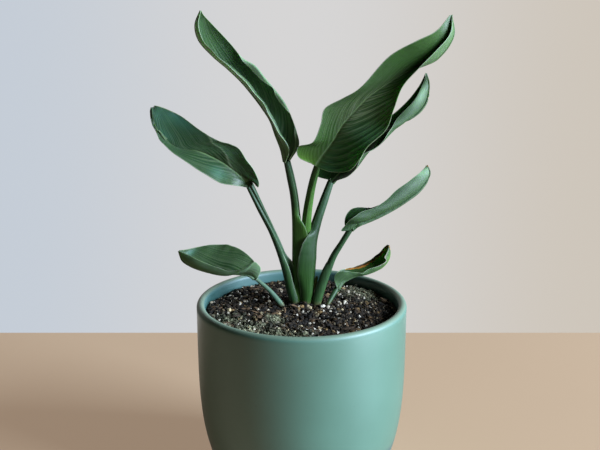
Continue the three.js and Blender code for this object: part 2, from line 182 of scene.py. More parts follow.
def new_group(name, inputs, outputs):
    """An effect that several materials use. inputs: {name: default}, a tuple for a vector."""
    tree = bpy.data.node_groups.new(name, "ShaderNodeTree")
    for key, value in inputs.items():
        kind = "NodeSocketVector" if isinstance(value, tuple) else "NodeSocketFloat"
        tree.interface.new_socket(key, in_out="INPUT", socket_type=kind).default_value = value
    for key in outputs:
        tree.interface.new_socket(key, in_out="OUTPUT", socket_type="NodeSocketFloat")
    return tree, tree.nodes.new("NodeGroupInput").outputs, tree.nodes.new("NodeGroupOutput").inputs


def use_group(tree, group, inputs, out=0):
    """Adds a group's node, with its inputs, and returns one of its outputs."""
    made = tree.nodes.new("ShaderNodeGroup")
    made.node_tree = group
    set_inputs(tree, made, inputs)
    return made.outputs[out]


def feed(tree, shader, **sockets):
    """Links sockets to the shader's inputs of those names, with _ for a space."""
    for key, socket in sockets.items():
        tree.links.new(socket, shader.inputs[key.replace("_", " ")])


def bump(tree, height, distance_mm, strength):
    """The surface's normal, as if it rose by the distance where the height is 1."""
    inputs = {"Height": height, "Strength": strength, "Distance": distance_mm * MM}
    return node(tree, "ShaderNodeBump", inputs)


# Soft patches, 0 to 1, for mottling and for fine relief. Contrast is 1 for plain noise.
patches, patches_in, patches_out = new_group(
    "soft_patches", {"Vector": (0, 0, 0), "Size": 10.0, "Detail": 3.0, "Contrast": 1.0}, ["Value"])
patch_noise = node(patches, "ShaderNodeTexNoise", {
    "Vector": patches_in["Vector"],
    "Scale": calc(patches, "DIVIDE", 1000.0, patches_in["Size"]),
    "Detail": patches_in["Detail"]})
patch_spread = calc(patches, "MULTIPLY", calc(patches, "SUBTRACT", patch_noise, 0.5), patches_in["Contrast"])
patches.links.new(calc(patches, "ADD", patch_spread, 0.5, clamp=True), patches_out["Value"])


def patchy(tree, place, size, contrast=1.0, detail=3.0):
    """Soft patches of about the given size in millimetres."""
    return use_group(tree, patches, {"Vector": place, "Size": size, "Detail": detail, "Contrast": contrast})


glaze, tree, shader = new_material(
    "satin_glaze", 0.42, Coat_Weight=1.0, Coat_Roughness=0.36, Specular_IOR_Level=1.0)
place = node(tree, "ShaderNodeTexCoord", out=3)
height = node(tree, "ShaderNodeSeparateXYZ", {0: place}, out=2)
cloud = patchy(tree, place, 45.0, 1.6)
speck = patchy(tree, place, 1.6, detail=1.0)
green = mix(tree, cloud, paint(81, 124, 106), paint(88, 133, 114))
green = mix(tree, fade(tree, speck, 0.74, 0.8, 0, 0.35), green, paint(66, 96, 80))
# Nearer the axis, which is the inside and also the outside's lower curve, the glaze is painted darker and
# bluer: a painted reflection of the cool light, not a colour of the glaze.
level = node(tree, "ShaderNodeVectorMath", {0: place, 1: (1, 1, 0)}, operation="MULTIPLY")
from_axis = node(tree, "ShaderNodeVectorMath", {0: level}, out=1, operation="LENGTH")
blue = fade(tree, from_axis, PAINTED_REFLECTION_WITHIN[0] * MM, PAINTED_REFLECTION_WITHIN[1] * MM, 0.8, 0)
green = mix(tree, blue, green, paint(62, 106, 104))
# The rim's rounded top is painted paler: a painted highlight where light catches it.
pale = fade(tree, height, RIM_PAINTED_HIGHLIGHT[0] * MM, RIM_PAINTED_HIGHLIGHT[1] * MM, 0, 0.5)
green = mix(tree, pale, green, paint(142, 156, 126))
bare = fade(tree, height, (BARE_FOOT_HEIGHT + GLAZE_STEP / 3) * MM, glaze_end * MM, 1, 0)
clay_speck = patchy(tree, place, 0.9, 2.0)
clay = mix(tree, clay_speck, paint(188, 168, 142), paint(208, 192, 168))
worn = [height, RIM_WORN[0] * MM, RIM_WORN[1] * MM]
rough = calc(tree, "ADD", fade(tree, *worn, 0, 0.2), calc(tree, "MULTIPLY", bare, 0.45))
rough = calc(tree, "ADD", fade(tree, cloud, 0, 1, 0.36, 0.43), rough, clamp=True)
orange_peel = patchy(tree, place, 3.5, detail=2.0)
feed(tree, shader, Base_Color=mix(tree, bare, green, clay), Coat_Weight=fade(tree, *worn, 1, 0.2),
     Roughness=rough, Normal=bump(tree, orange_peel, 0.05, 0.5))
pot.data.materials.append(glaze)
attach(pot, "root")
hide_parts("pot")

# ---- Potting mix ------------------------------------------------------------------------------------
# Peat and composted bark with white perlite, filled to a finger's width below the rim and heaped a
# little towards the stalks. The bed is one mass, and the crumbs, chips and perlite lie loose on it.
SOIL_EDGE_HEIGHT = 140.5
SOIL_MOUND = 3.2
SOIL_LUMP = 1.1
SOIL_CLOD, SOIL_CLOD_SPAN = 1.2, 6
SOIL_CRUMB, SOIL_CRUMB_SPAN = 0.5, 1.3
SOIL_GAP = 0.7
SOIL_FLOOR_GAP = SOIL_GAP / 2
SOIL_SKIRT = 12
SOIL_REACH = POT_RADIUS - POT_WALL - SOIL_GAP
SOIL_SQUARES = 150
# Loose pieces lie clear of the pot and, by a share of their size, of the stalks.
LOOSE_EDGE_CLEAR = 1.5
LOOSE_STALK_CLEAR = 0.6
LOOSE_SMALL_BIAS = 2.2  # the higher, the more of them are small
LOOSE_TUMBLE = 0.7  # how far they lean, in radians
# Where a stalk comes out of the mix: x, y and reach.
STALK_FEET = [(2, 9, 4), (-4, 8.5, 4), (3, 8, 5), (-5.5, 7, 4.5), (-15, 3, 3), (11.5, 7, 4.5),
              (20.5, 4, 2.4)]
# Where a thin green crust of moss has grown: x, y and reach.
MOSS = [(-42, -48, 18), (-24, -58, 14), (-60, -26, 14), (52, 40, 19), (-4, -62, 12), (-20, -30, 8)]
MOSS_RAGGED, MOSS_RAGGED_SPAN = 0.55, 7
# The grains that stand out in the photograph: x, y, half width and tone.
GRAINS = [(16.9, -4.4, 1.5, 1.0), (-26.2, 9.6, 1.3, 0.1), (-50, 19, 0.9, 0.9), (-44, 12, 0.8, 0.8),
          (-11, 19, 0.9, 0.6), (-15.5, 39, 0.8, 0.9), (2.7, -14, 0.8, 0.4), (-3.6, -18, 0.9, 0.9),
          (35, 12, 1.1, 0.6), (32, 29, 1.0, 0.8), (47, 37, 0.9, 1.0)]


def soil_height(x, y):
    """The bed's height without its finest crumbs, in millimetres."""
    mound = SOIL_MOUND * (1 - (x * x + y * y) / (POT_RADIUS - POT_WALL) ** 2)
    lumps = math.sin(0.09 * x + 1.3) * math.cos(0.11 * y - 0.4) + 0.6 * math.sin(0.23 * x - 0.19 * y + 2.1)
    clods = noise.fractal(Vector((x / SOIL_CLOD_SPAN, y / SOIL_CLOD_SPAN, 0)), 0.7, 2.2, 3)
    return SOIL_EDGE_HEIGHT + mound + SOIL_LUMP * lumps + SOIL_CLOD * clods


def moss_at(x, y):
    """How mossy the bed is at a place, 0 to 1."""
    ragged = MOSS_RAGGED * noise.noise(Vector((x / MOSS_RAGGED_SPAN, y / MOSS_RAGGED_SPAN, 3)))
    nearest = max(1.3 - math.hypot(x - mx, y - my) / reach for mx, my, reach in MOSS)
    return max(0.0, min(1.0, nearest + ragged))


def read_points(mesh):
    """The mesh's points, one row of x, y and z for each."""
    points = np.empty(len(mesh.vertices) * 3)
    mesh.vertices.foreach_get("co", points)
    return points.reshape(-1, 3)


def write_points(mesh, points_mm):
    """Moves the mesh's points to the given rows, in millimetres."""
    mesh.vertices.foreach_set("co", (points_mm * MM).ravel())


def carry(mesh, numbers):
    """Lets the mesh's points carry numbers for the materials: {name: one for each point}."""
    for name, values in numbers.items():
        held = mesh.attributes.new(name, "FLOAT", "POINT")
        held.data.foreach_set("value", np.asarray(values, np.float32))


bpy.ops.object.select_all(action="DESELECT")
bpy.ops.mesh.primitive_grid_add(x_subdivisions=SOIL_SQUARES, y_subdivisions=SOIL_SQUARES, size=2)
soil = bpy.context.object
soil.name = soil.data.name = "potting_mix_bed"
corner = read_points(soil.data)
square_x, square_y = corner[:, 0].copy(), corner[:, 1].copy()
corner[:, 0] = square_x * np.sqrt(1 - square_y**2 / 2) * SOIL_REACH
corner[:, 1] = square_y * np.sqrt(1 - square_x**2 / 2) * SOIL_REACH
for point in corner:
    crumb = noise.noise(Vector((point[0] / SOIL_CRUMB_SPAN, point[1] / SOIL_CRUMB_SPAN, 9)))
    point[2] = soil_height(point[0], point[1]) + SOIL_CRUMB * crumb
write_points(soil.data, corner)
bpy.ops.object.mode_set(mode="EDIT")
bpy.ops.mesh.select_all(action="DESELECT")
bpy.ops.mesh.select_mode(type="EDGE")
bpy.ops.mesh.select_non_manifold()
bpy.ops.mesh.extrude_region_move(TRANSFORM_OT_translate={"value": (0, 0, -SOIL_SKIRT * MM)})
bpy.ops.transform.resize(value=(1, 1, 0))
bed_floor = POT_FLOOR + SOIL_FLOOR_GAP
bed_profile = [(SOIL_REACH, SOIL_EDGE_HEIGHT - SOIL_SKIRT)]
bed_profile += [(pot_radius(h) - POT_WALL - SOIL_GAP, h)
                for h in (110, 76, 52, 34, 20, bed_floor + POT_FLOOR_ROUND)]
bed_profile += [(bed_profile[-1][0] - POT_FLOOR_ROUND, bed_floor)]
extrude_rings(bed_profile)
bpy.ops.mesh.edge_face_add()
close_piece()
bpy.ops.object.shade_smooth()

# Every loose piece of the mix is a copy of a rounded lump or, for the smallest, of a plain cube.
lumps = []
for cuts in (0, 1):
    bpy.ops.object.select_all(action="DESELECT")
    bpy.ops.mesh.primitive_cube_add(size=1.5)
    lump = new_piece("lump")
    if cuts:
        bpy.ops.mesh.subdivide(number_cuts=cuts, smoothness=1)
    close_piece()
    corners = np.array([vertex.co for vertex in lump.data.vertices])
    lumps.append((corners, np.array([face.vertices for face in lump.data.polygons])))
    bpy.data.objects.remove(lump)
CUBE, LUMP = lumps


def tumbled(rng):
    """A turn about the vertical and then a lean, as a matrix."""
    spin = rng.uniform(0, math.tau)
    lean = rng.uniform(-LOOSE_TUMBLE, LOOSE_TUMBLE)
    way = rng.uniform(0, math.tau)
    cos_spin, sin_spin = math.cos(spin), math.sin(spin)
    about_z = np.array([[cos_spin, -sin_spin, 0], [sin_spin, cos_spin, 0], [0, 0, 1]])
    axis = np.array([math.cos(way), math.sin(way), 0])
    cross = np.array([[0, -axis[2], axis[1]], [axis[2], 0, -axis[0]], [-axis[1], axis[0], 0]])
    return (np.eye(3) + math.sin(lean) * cross + (1 - math.cos(lean)) * cross @ cross) @ about_z


def scatter(count, seed, sizes, moss_only=False):
    """Places on the bed as x, y, size and tone. sizes: smallest and largest half width. With
    moss_only they lie where moss has grown."""
    rng = random.Random(seed)
    places = []
    while len(places) < count:
        radius = (SOIL_REACH - LOOSE_EDGE_CLEAR) * math.sqrt(rng.random())
        angle = rng.uniform(0, math.tau)
        x, y = radius * math.cos(angle), radius * math.sin(angle)
        size = sizes[0] + (sizes[1] - sizes[0]) * rng.random() ** LOOSE_SMALL_BIAS
        clear = LOOSE_STALK_CLEAR * size
        if any(math.hypot(x - fx, y - fy) < reach + clear for fx, fy, reach in STALK_FEET):
            continue
        if moss_only and rng.random() > moss_at(x, y) - 0.25:
            continue
        places.append((x, y, size, rng.random()))
    return places


def lay(name, places, seed, shape, lift, ragged, lump):
    """Lays one copy of the lump at every place, raised by lift of its size and dented by up to ragged
    of it. Each copy keeps its place's tone and mossiness, for the materials."""
    rng = random.Random(seed)
    lump_points, lump_faces = lump
    points = []
    for x, y, size, _ in places:
        stretch = np.array([rng.uniform(*pair) for pair in shape]) * size
        dents = np.array([rng.uniform(1 - ragged, 1 + ragged) for _ in lump_points])[:, None]
        lain = (lump_points * dents * stretch) @ tumbled(rng).T
        points.append(lain + (x, y, soil_height(x, y) + lift * size))
    mesh = bpy.data.meshes.new(name)
    each = len(lump_points)
    faces = (lump_faces[None] + each * np.arange(len(places))[:, None, None]).reshape(-1, 4)
    mesh.from_pydata((np.vstack(points) * MM).tolist(), [], faces.tolist())
    mossy = [moss_at(x, y) for x, y, *_ in places]
    carry(mesh, {"tone": np.repeat([tone for *_, tone in places], each), "moss": np.repeat(mossy, each)})
    piece = bpy.data.objects.new(name, mesh)
    bpy.context.collection.objects.link(piece)
    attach(piece, "root")
    return piece


# Least and greatest length, width and height of a loose piece, as shares of its size.
BLOCKY = ((0.8, 1.4), (0.6, 1), (0.5, 0.9))
FLAT = ((0.9, 1.8), (0.3, 0.6), (0.16, 0.3))
ROUND = ((0.8, 1.2), (0.75, 1), (0.7, 0.95))
crumbs = lay("potting_mix_crumbs", scatter(4100, 3, (0.45, 1.7)), 4, BLOCKY, 0.3, 0.24, LUMP)
grit = lay("potting_mix_grit", scatter(11000, 5, (0.3, 0.75)), 6, BLOCKY, 0.6, 0.25, CUBE)
chips = lay("bark_chips", scatter(230, 8, (1.0, 3.0)), 9, FLAT, 0.3, 0.16, LUMP)
perlite = lay("perlite_grains", GRAINS + scatter(420, 21, (0.35, 1.25)), 22, ROUND, 0.7, 0.2, LUMP)
moss = lay("moss_crumbs", scatter(2600, 31, (0.35, 1.0), True), 32, BLOCKY, 0.8, 0.3, CUBE)

earth, tree, shader = new_material("peat_and_bark", 0.93)
place = node(tree, "ShaderNodeTexCoord", out=3)
fine = patchy(tree, place, 1.1, 2.2, 4.0)
brown = mix(tree, fine, paint(13, 10, 6), paint(58, 44, 26))
tone = attribute(tree, "tone")
brown = mix(tree, fade(tree, tone, 0.5, 0.9, 0, 0.7), brown, paint(98, 72, 40))
brown = mix(tree, fade(tree, tone, 0.82, 0.88, 0, 0.8), brown, paint(150, 120, 76))
brown = mix(tree, fade(tree, tone, 0.93, 0.94, 0, 0.9), brown, paint(210, 190, 148))
damp = patchy(tree, place, 9.0, 3.0, 2.0)
brown = mix(tree, fade(tree, damp, 0.35, 0.65, 0.75, 0), brown, paint(12, 9, 6))
mossy = calc(tree, "MULTIPLY", attribute(tree, "moss"), fade(tree, fine, 0.2, 0.7), clamp=True)
moss_green = mix(tree, tone, paint(84, 88, 56), paint(190, 190, 152))
feed(tree, shader, Base_Color=mix(tree, mossy, brown, moss_green), Normal=bump(tree, fine, 0.5, 0.8))

bark, tree, shader = new_material("bark", 0.85)
place = node(tree, "ShaderNodeTexCoord", out=3)
fine = patchy(tree, place, 0.8, 2.0)
tone = attribute(tree, "tone")
bark_brown = mix(tree, tone, paint(40, 29, 20), paint(132, 102, 70))
bark_brown = mix(tree, calc(tree, "MULTIPLY", fine, 0.45), bark_brown, paint(30, 23, 17))
feed(tree, shader, Base_Color=bark_brown, Normal=bump(tree, fine, 0.3, 0.7))

white, tree, shader = new_material("perlite", 0.8)
place = node(tree, "ShaderNodeTexCoord", out=3)
pores = patchy(tree, place, 0.7, 2.6, 2.0)
tone = attribute(tree, "tone")
chalk = mix(tree, tone, paint(178, 160, 130), paint(230, 220, 200))
chalk = mix(tree, fade(tree, pores, 0.42, 0.1, 0, 0.8), chalk, paint(104, 90, 72))
feed(tree, shader, Base_Color=chalk, Normal=bump(tree, pores, 0.35, 0.7))

for material, pieces in ((earth, (soil, crumbs, grit, moss)), (bark, (chips,)), (white, (perlite,))):
    for piece in pieces:
        piece.data.materials.append(material)
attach(soil, "root")
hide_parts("soil")

# ---- Tall right leaf --------------------------------------------------------------------------------
# The youngest open leaf, its upper side turned to the viewer. A grooved, waxy stalk runs into the
# midrib, and the side veins pucker the right half of the thin blade into ridges.
STALK_SIDES = 96
STALK_RINGS = 100
STALK_DUSTY = (143.5, 148.5)  # heights between which the mix's dust on it ends
BLADE_HALF_COLUMNS = 44
BLADE_ROWS = 170
BLADE_THICKNESS = 0.5
BLADE_THINNING = 0.35  # how much thinner its edges are, as a share
BLADE_BASE_HALF = 2.6
BLADE_TIP_HALF = 0.7
FLUTTER = 0.35
FLUTTER_WAVES = (29, 51)  # radians along the blade
CREASE_SPAN = 0.14  # share of the blade's length over which it folds back
CREASE_LINE = 0.01
VEIN_CREST_POWER = 3
RIB_CHANNEL = 0.4
RIB_TIP_HALF = 0.35
HEM_SHARE = 0.16  # of each half's columns, for the turned edge
HEM_BEND = 0.4  # of those, for the bend, the rest being the flat of the flap
HEM_RADIUS = 0.7
PLAIN_HEM = [(0, 0.3, 15)]  # place along the blade, width and turn in degrees
LIP_WIDTH, LIP_RISE = 0.13, 0.05
MEMBRANE_WIDTH = 0.07


def unit(vectors):
    """The vectors, each made one long."""
    return vectors / (np.linalg.norm(vectors, axis=-1, keepdims=True) + 1e-12)


def smooth_line(stations, shares):
    """Points of the smooth curve through the stations, at shares 0 to 1 of the way along it."""
    stations = np.asarray(stations, float).reshape(len(stations), -1)
    way = np.clip(shares, 0, 1) * (len(stations) - 1)
    first = np.minimum(way.astype(int), len(stations) - 2)
    t = (way - first)[:, None]
    line = np.vstack([2 * stations[0] - stations[1], stations, 2 * stations[-1] - stations[-2]])
    before, start, end, after = (line[first + k] for k in range(4))
    leave, arrive = (end - before) / 2, (after - start) / 2
    cubic = 2 * start - 2 * end + leave + arrive
    square = 3 * end - 3 * start - 2 * leave - arrive
    return cubic * t**3 + square * t**2 + leave * t + start


def line_direction(stations, shares):
    """Which way the smooth curve runs at those shares."""
    step = 1e-3
    ahead = smooth_line(stations, np.minimum(shares + step, 1))
    return unit(ahead - smooth_line(stations, np.maximum(shares - step, 0)))


def along_table(table, shares):
    """The rows (share, value, ...) of a table, read at the shares, as one array for each value."""
    table = np.asarray(table, float)
    return [np.interp(shares, table[:, 0], table[:, k]) for k in range(1, table.shape[1])]


def strength(leaf, key, usual, along, across=None):
    """The strength of a tint or shape at each point: a number or a table (along, value), with round
    patches of it under key_patches, each (along, across, reach along, reach across, value)."""
    value = leaf.get(key, usual)
    level = along_table(value, along)[0] if isinstance(value, list) else np.full(len(along), float(value))
    for at_along, at_across, reach_along, reach_across, peak in leaf.get(f"{key}_patches", []):
        off = ((along - at_along) / reach_along) ** 2 + ((across - at_across) / reach_across) ** 2
        level = level + (peak - level) * np.exp(-off)
    return level


def crease_side(leaf, across, along):
    """How far a point lies beyond the blade's crease, on the stalk's side of it, and how near to it.
    crease: (across, along) of the places that it runs through."""
    crease = np.asarray(leaf.get("crease", [(-1, -9), (1, -9)]), float)
    beyond = np.interp(across, crease[:, 0], crease[:, 1]) - along
    within = np.clip((across - crease[0, 0]) * 8, 0, 1)
    folded = CREASE_SPAN * np.tanh(np.maximum(beyond, 0) / CREASE_SPAN)
    return folded * within, np.exp(-((beyond / CREASE_LINE) ** 2)) * within


def blade_sheet(leaf, across, along):
    """Points of the blade's middle sheet, for across from -1 at the left edge to 1 at the right one,
    and along from 0 at the stalk to 1 at the tip. Also the distances from the midrib and from the
    edge, the half's width, and the share of the way to the fold of the edge."""
    rib, left, right = (np.asarray(leaf[key], float) for key in ("rib", "left", "right"))

    def end_across(end, direction):
        """From left to right, square to the midrib, at one end of the blade."""
        span = right[end] - left[end]
        return unit(span - direction * (span @ direction))

    base = end_across(0, unit(rib[1] - rib[0])) * leaf.get("base_half", BLADE_BASE_HALF)
    tip = end_across(-1, unit(rib[-1] - rib[-2])) * BLADE_TIP_HALF
    lefts = np.vstack([rib[0] - base, left, rib[-1] - tip])
    rights = np.vstack([rib[0] + base, right, rib[-1] + tip])
    middle, forward = smooth_line(rib, along), line_direction(rib, along)
    side = np.where(across < 0, -1.0, 1.0)[:, None]
    edge = np.where(side < 0, smooth_line(lefts, along), smooth_line(rights, along))
    width = edge - middle
    wide = np.linalg.norm(width, axis=1, keepdims=True)
    up = unit(np.cross(width, forward)) * side
    sag = np.where(side < 0, leaf["sag"][0], leaf["sag"][1])
    control = middle + width / 2 - up * wide * sag
    share = np.minimum(np.abs(across) / (1 - HEM_SHARE), 1)[:, None]
    share = 0.45 * share + 0.55 * share**2 * (3 - 2 * share)
    sheet = (1 - share) ** 2 * middle + 2 * share * (1 - share) * control + share**2 * edge
    # The blade's gentle flutter grows towards its edges, and a crease folds it back beyond a line.
    phase = rib[0, 0] + 2.4 * side[:, 0]
    flutter = np.sin(FLUTTER_WAVES[0] * along + phase) + 0.6 * np.sin(FLUTTER_WAVES[1] * along - 2 * phase)
    flutter *= FLUTTER * np.sin(math.pi * np.clip(along, 0, 1)) * share[:, 0] ** 2
    beyond = crease_side(leaf, across, along)[0] * leaf.get("crease_fold", 0)
    sheet += up * (flutter - beyond)[:, None]
    # The edge bends up. Mostly it is a hair's breadth, and a rolled flap is a few millimetres.
    turn = np.clip((np.abs(across) - (1 - HEM_SHARE)) / HEM_SHARE, 0, 1)
    hem_left, roll_left = along_table(leaf.get("hem_left", PLAIN_HEM), along)
    hem_right, roll_right = along_table(leaf.get("hem_right", PLAIN_HEM), along)
    hem = np.where(across < 0, hem_left, hem_right)
    roll = np.radians(np.where(across < 0, roll_left, roll_right))
    bend = roll * np.minimum(turn / HEM_BEND, 1)
    flap = hem * np.maximum(turn - HEM_BEND, 0) / (1 - HEM_BEND)
    out = unit(edge - control)
    over = unit(np.cross(out * side, forward))
    sheet += out * (HEM_RADIUS * np.sin(bend) + flap * np.cos(roll))[:, None]
    sheet += over * (HEM_RADIUS * (1 - np.cos(bend)) + flap * np.sin(roll))[:, None]
    share, wide = share[:, 0], wide[:, 0]
    return sheet, wide * share + hem * turn, wide * (1 - share) + hem * (1 - turn), wide, share


def vein_number(leaf, half, along, off_rib, wide, length):
    """Which side vein of one half runs through a point, counted from the stalk. Veins leave the
    midrib forwards and sweep round along the edge."""
    at_base, at_tip = leaf.get("vein_lean", ((0.9, 2.4), (0.9, 2.4)))[0 if half < 0 else 1]
    slant = at_base + (at_tip - at_base) * along
    return (along * length - slant * (off_rib + 0.9 * off_rib**2 / (wide + 1))) / leaf.get("vein_gap", 6.0)


def grow_blade(name, leaf):
    """Lays a plain grid on the leaf's midrib and edges, puckers it along the veins and thickens it.
    Each point carries its place on the leaf and its tints, for the materials."""
    bpy.ops.object.select_all(action="DESELECT")
    rows = leaf.get("rows", BLADE_ROWS)
    bpy.ops.mesh.primitive_grid_add(x_subdivisions=2 * BLADE_HALF_COLUMNS, y_subdivisions=rows, size=2)
    blade = bpy.context.object
    blade.name = blade.data.name = name
    mesh = blade.data
    flat = read_points(mesh)
    across, along = flat[:, 0], (flat[:, 1] + 1) / 2
    sheet, off_rib, to_edge, wide, share = blade_sheet(leaf, across, along)
    step = 2e-3
    lengthwise = blade_sheet(leaf, across, np.minimum(along + step, 1))[0]
    lengthwise -= blade_sheet(leaf, across, np.maximum(along - step, 0))[0]
    crosswise = blade_sheet(leaf, np.minimum(across + step, 1), along)[0]
    crosswise -= blade_sheet(leaf, np.maximum(across - step, -1), along)[0]
    upward = unit(np.cross(crosswise, lengthwise))
    length = np.linalg.norm(np.diff(smooth_line(leaf["rib"], np.linspace(0, 1, 200)), axis=0), axis=1).sum()
    vein = [vein_number(leaf, half, along, off_rib, wide, length) for half in (-1, 1)]
    vein = np.where(across < 0, *vein)
    pleat_left, pleat_right = leaf.get("pleats", (0.15, 0.15))
    crest = (0.5 - 0.5 * np.cos(math.tau * vein)) ** VEIN_CREST_POWER
    crest *= np.where(across < 0, pleat_left, pleat_right) * strength(leaf, "pleat_run", 1, along)
    crest *= np.sqrt(np.clip(4 * share * (1 - share), 0, 1)) * np.clip(1.6 * np.sin(math.pi * along), 0, 1)
    rib_round = (leaf["stalk_end"] / 2 - RIB_TIP_HALF) * (1 - along) ** 0.8 + RIB_TIP_HALF
    channel = -RIB_CHANNEL * (1 - 0.7 * along) * np.exp(-((off_rib / (0.5 * rib_round + 0.2)) ** 2))
    write_points(mesh, sheet + upward * (BLADE_THICKNESS / 2 + crest + channel)[:, None])
    margin = np.where(across < 0, *leaf.get("margin", (0.3, 0.3)))
    pale = np.clip(1.3 - to_edge / margin, 0, 1) + 0.8 * crease_side(leaf, across, along)[1]
    carry(mesh, {"off_rib": off_rib, "vein": vein, "rib_round": rib_round, "pale": np.clip(pale, 0, 1)})
    # Some of these tints stand in for light. The young one is also painted glow and painted light in shade,
    # the bloom is partly a painted sheen, the wax is a painted highlight, and the sage is partly painted
    # highlight and glow.
    for label, usual in (("young_and_painted_light", 0), ("bloom_and_painted_sheen", 0), ("painted_highlight", 0), ("sage_and_painted_light", 0.2), ("scorch", 0), ("dry", 0)):
        carry(mesh, {label: strength(leaf, label, usual, along, across)})
    ridge = np.sqrt(np.clip(rib_round**2 - off_rib**2, 0, None))
    thick = BLADE_THICKNESS * (1 - BLADE_THINNING * share) + strength(leaf, "rib_swell", 1, along) * ridge
    group = blade.vertex_groups.new(name="thick")
    for index, weight in enumerate(thick / thick.max()):
        group.add([index], float(weight), "REPLACE")
    for material in (blade_upper, blade_under, blade_edge):
        mesh.materials.append(material)
    body = blade.modifiers.new("body", "SOLIDIFY")
    body.thickness = float(thick.max()) * MM
    body.offset = -1
    body.vertex_group = "thick"
    body.material_offset, body.material_offset_rim = 1, 2
    bpy.ops.object.modifier_apply(modifier=body.name)
    bpy.ops.object.shade_smooth_by_angle(angle=math.radians(60))
    return blade


def grow_stalk(name, leaf):
    """Sweeps a grooved section from below the mix into the midrib. The groove faces foot_groove
    degrees at the foot, 0 to the right and -90 to the viewer, and the blade's upper side at the top.
    lips: (height, front reach, back reach), how far the sheath's two thin edges stand out. The
    outside sweeps out to them from the back of the stalk, and the inside is hollow."""
    rib = np.asarray(leaf["rib"], float)
    blade_foot = leaf.get("stalk_top", rib[0] - 0.1 * unit(rib[1] - rib[0]))
    stations = np.array([*leaf["stalk"], [*blade_foot, leaf["stalk_end"], leaf["stalk_end"]]], float)
    bpy.ops.object.select_all(action="DESELECT")
    bpy.ops.mesh.primitive_circle_add(vertices=STALK_SIDES, radius=1, fill_type="NGON")
    stalk = new_piece(name)
    for _ in range(STALK_RINGS):
        bpy.ops.mesh.extrude_region_move(TRANSFORM_OT_translate={"value": (0, 0, 1)})
    close_piece()
    mesh = stalk.data
    straight = read_points(mesh)
    share, angle = straight[:, 2] / STALK_RINGS, np.arctan2(straight[:, 1], straight[:, 0])
    middle, forward = smooth_line(stations[:, :3], share), line_direction(stations[:, :3], share)
    forward = np.where(share[:, None] > 0.999, unit(rib[1] - rib[0]), forward)
    sideways = unit(np.cross((0, 1, 0), forward))
    inward = unit(np.cross(forward, sideways))
    way = share * (len(stations) - 1)
    half_width = np.interp(way, range(len(stations)), stations[:, 3]) / 2
    half_depth = np.interp(way, range(len(stations)), stations[:, 4]) / 2
    near = np.array([0.06])
    spread = blade_sheet(leaf, np.array([0.5]), near)[0] - blade_sheet(leaf, np.array([-0.5]), near)[0]
    top_side = np.cross(spread[0], unit(rib[1] - rib[0]))
    last = np.argmax(share)
    top_groove = math.atan2(top_side @ inward[last], top_side @ sideways[last])
    foot_groove = math.radians(leaf["foot_groove"])
    twist = (top_groove - foot_groove + math.pi) % math.tau - math.pi
    groove = foot_groove + twist * share**1.5
    from_groove = np.abs((angle - groove + math.pi) % math.tau - math.pi)
    depth, reach = along_table(leaf.get("groove", [(0, 0.3, 42), (0.4, 0.28, 36), (1, 0.3, 30)]), share)
    reach = np.radians(reach)
    lip = np.exp(-(((from_groove - reach) / LIP_WIDTH) ** 2))
    hollow = 1 - depth * np.exp(-((from_groove / (0.62 * reach)) ** 2)) + LIP_RISE * lip
    place = sideways * (half_width * np.cos(angle) * hollow)[:, None]
    place += inward * (half_depth * np.sin(angle) * hollow)[:, None]
    front, back = along_table(leaf.get("lips", [(0, 0, 0)]), middle[:, 2])
    sweep = np.clip(1 - (from_groove - reach) / np.where(from_groove > reach, 1.15, -0.3), 0, 1)
    edge_out = sweep**2 * (3 - 2 * sweep) * np.where(np.sin(angle) < 0, front, back)
    open_way = sideways * np.cos(groove)[:, None] + inward * np.sin(groove)[:, None]
    to_viewer = np.where(np.sin(angle) < 0, strength(leaf, "lip_forward", 0.25, middle[:, 2]), 0)
    place += (open_way - inward * to_viewer[:, None]) * edge_out[:, None]
    write_points(mesh, middle + place)
    pale = strength(leaf, "pale_lip", [(0, 1), (0.3, 0.8), (0.6, 0.2), (1, 0.1)], share)
    membrane = np.exp(-(((from_groove - reach) / MEMBRANE_WIDTH) ** 2)) * np.clip(edge_out, 0, 1)
    carry(mesh, {"lip": np.maximum(0.5 * lip, membrane) * pale})
    # The fresh tint is young yellow-green tissue and also painted glow through a sheath and painted light on
    # a shaded foot. The waxy one is a pale waxy bloom, also set paler where a stalk is lit and lower where
    # it lies in shade, as painted light and shade.
    carry(mesh, {"fresh_and_painted_light": strength(leaf, "fresh_and_painted_light", 0.3, share), "waxy_and_painted_light": strength(leaf, "waxy_and_painted_light", 0.1, share)})
    mesh.materials.append(waxy_stalk)
    bpy.ops.object.shade_smooth_by_angle(angle=math.radians(50))
    return stalk


# Fine side veins: a line wherever the vein number passes a half, and a saw of relief between lines.
veins, veins_in, veins_out = new_group(
    "side_veins", {"Vein": 0.0, "Gap": 1.0, "Width": 0.18}, ["Line", "Height"])
vein_way = calc(veins, "DIVIDE", veins_in["Vein"], veins_in["Gap"])
vein_off = calc(veins, "ABSOLUTE", calc(veins, "SUBTRACT", calc(veins, "FRACT", vein_way), 0.5))
veins.links.new(fade(veins, vein_off, 0.0, veins_in["Width"], 1, 0), veins_out["Line"])
veins.links.new(fade(veins, vein_off, 0.0, 0.5, 0, 1), veins_out["Height"])


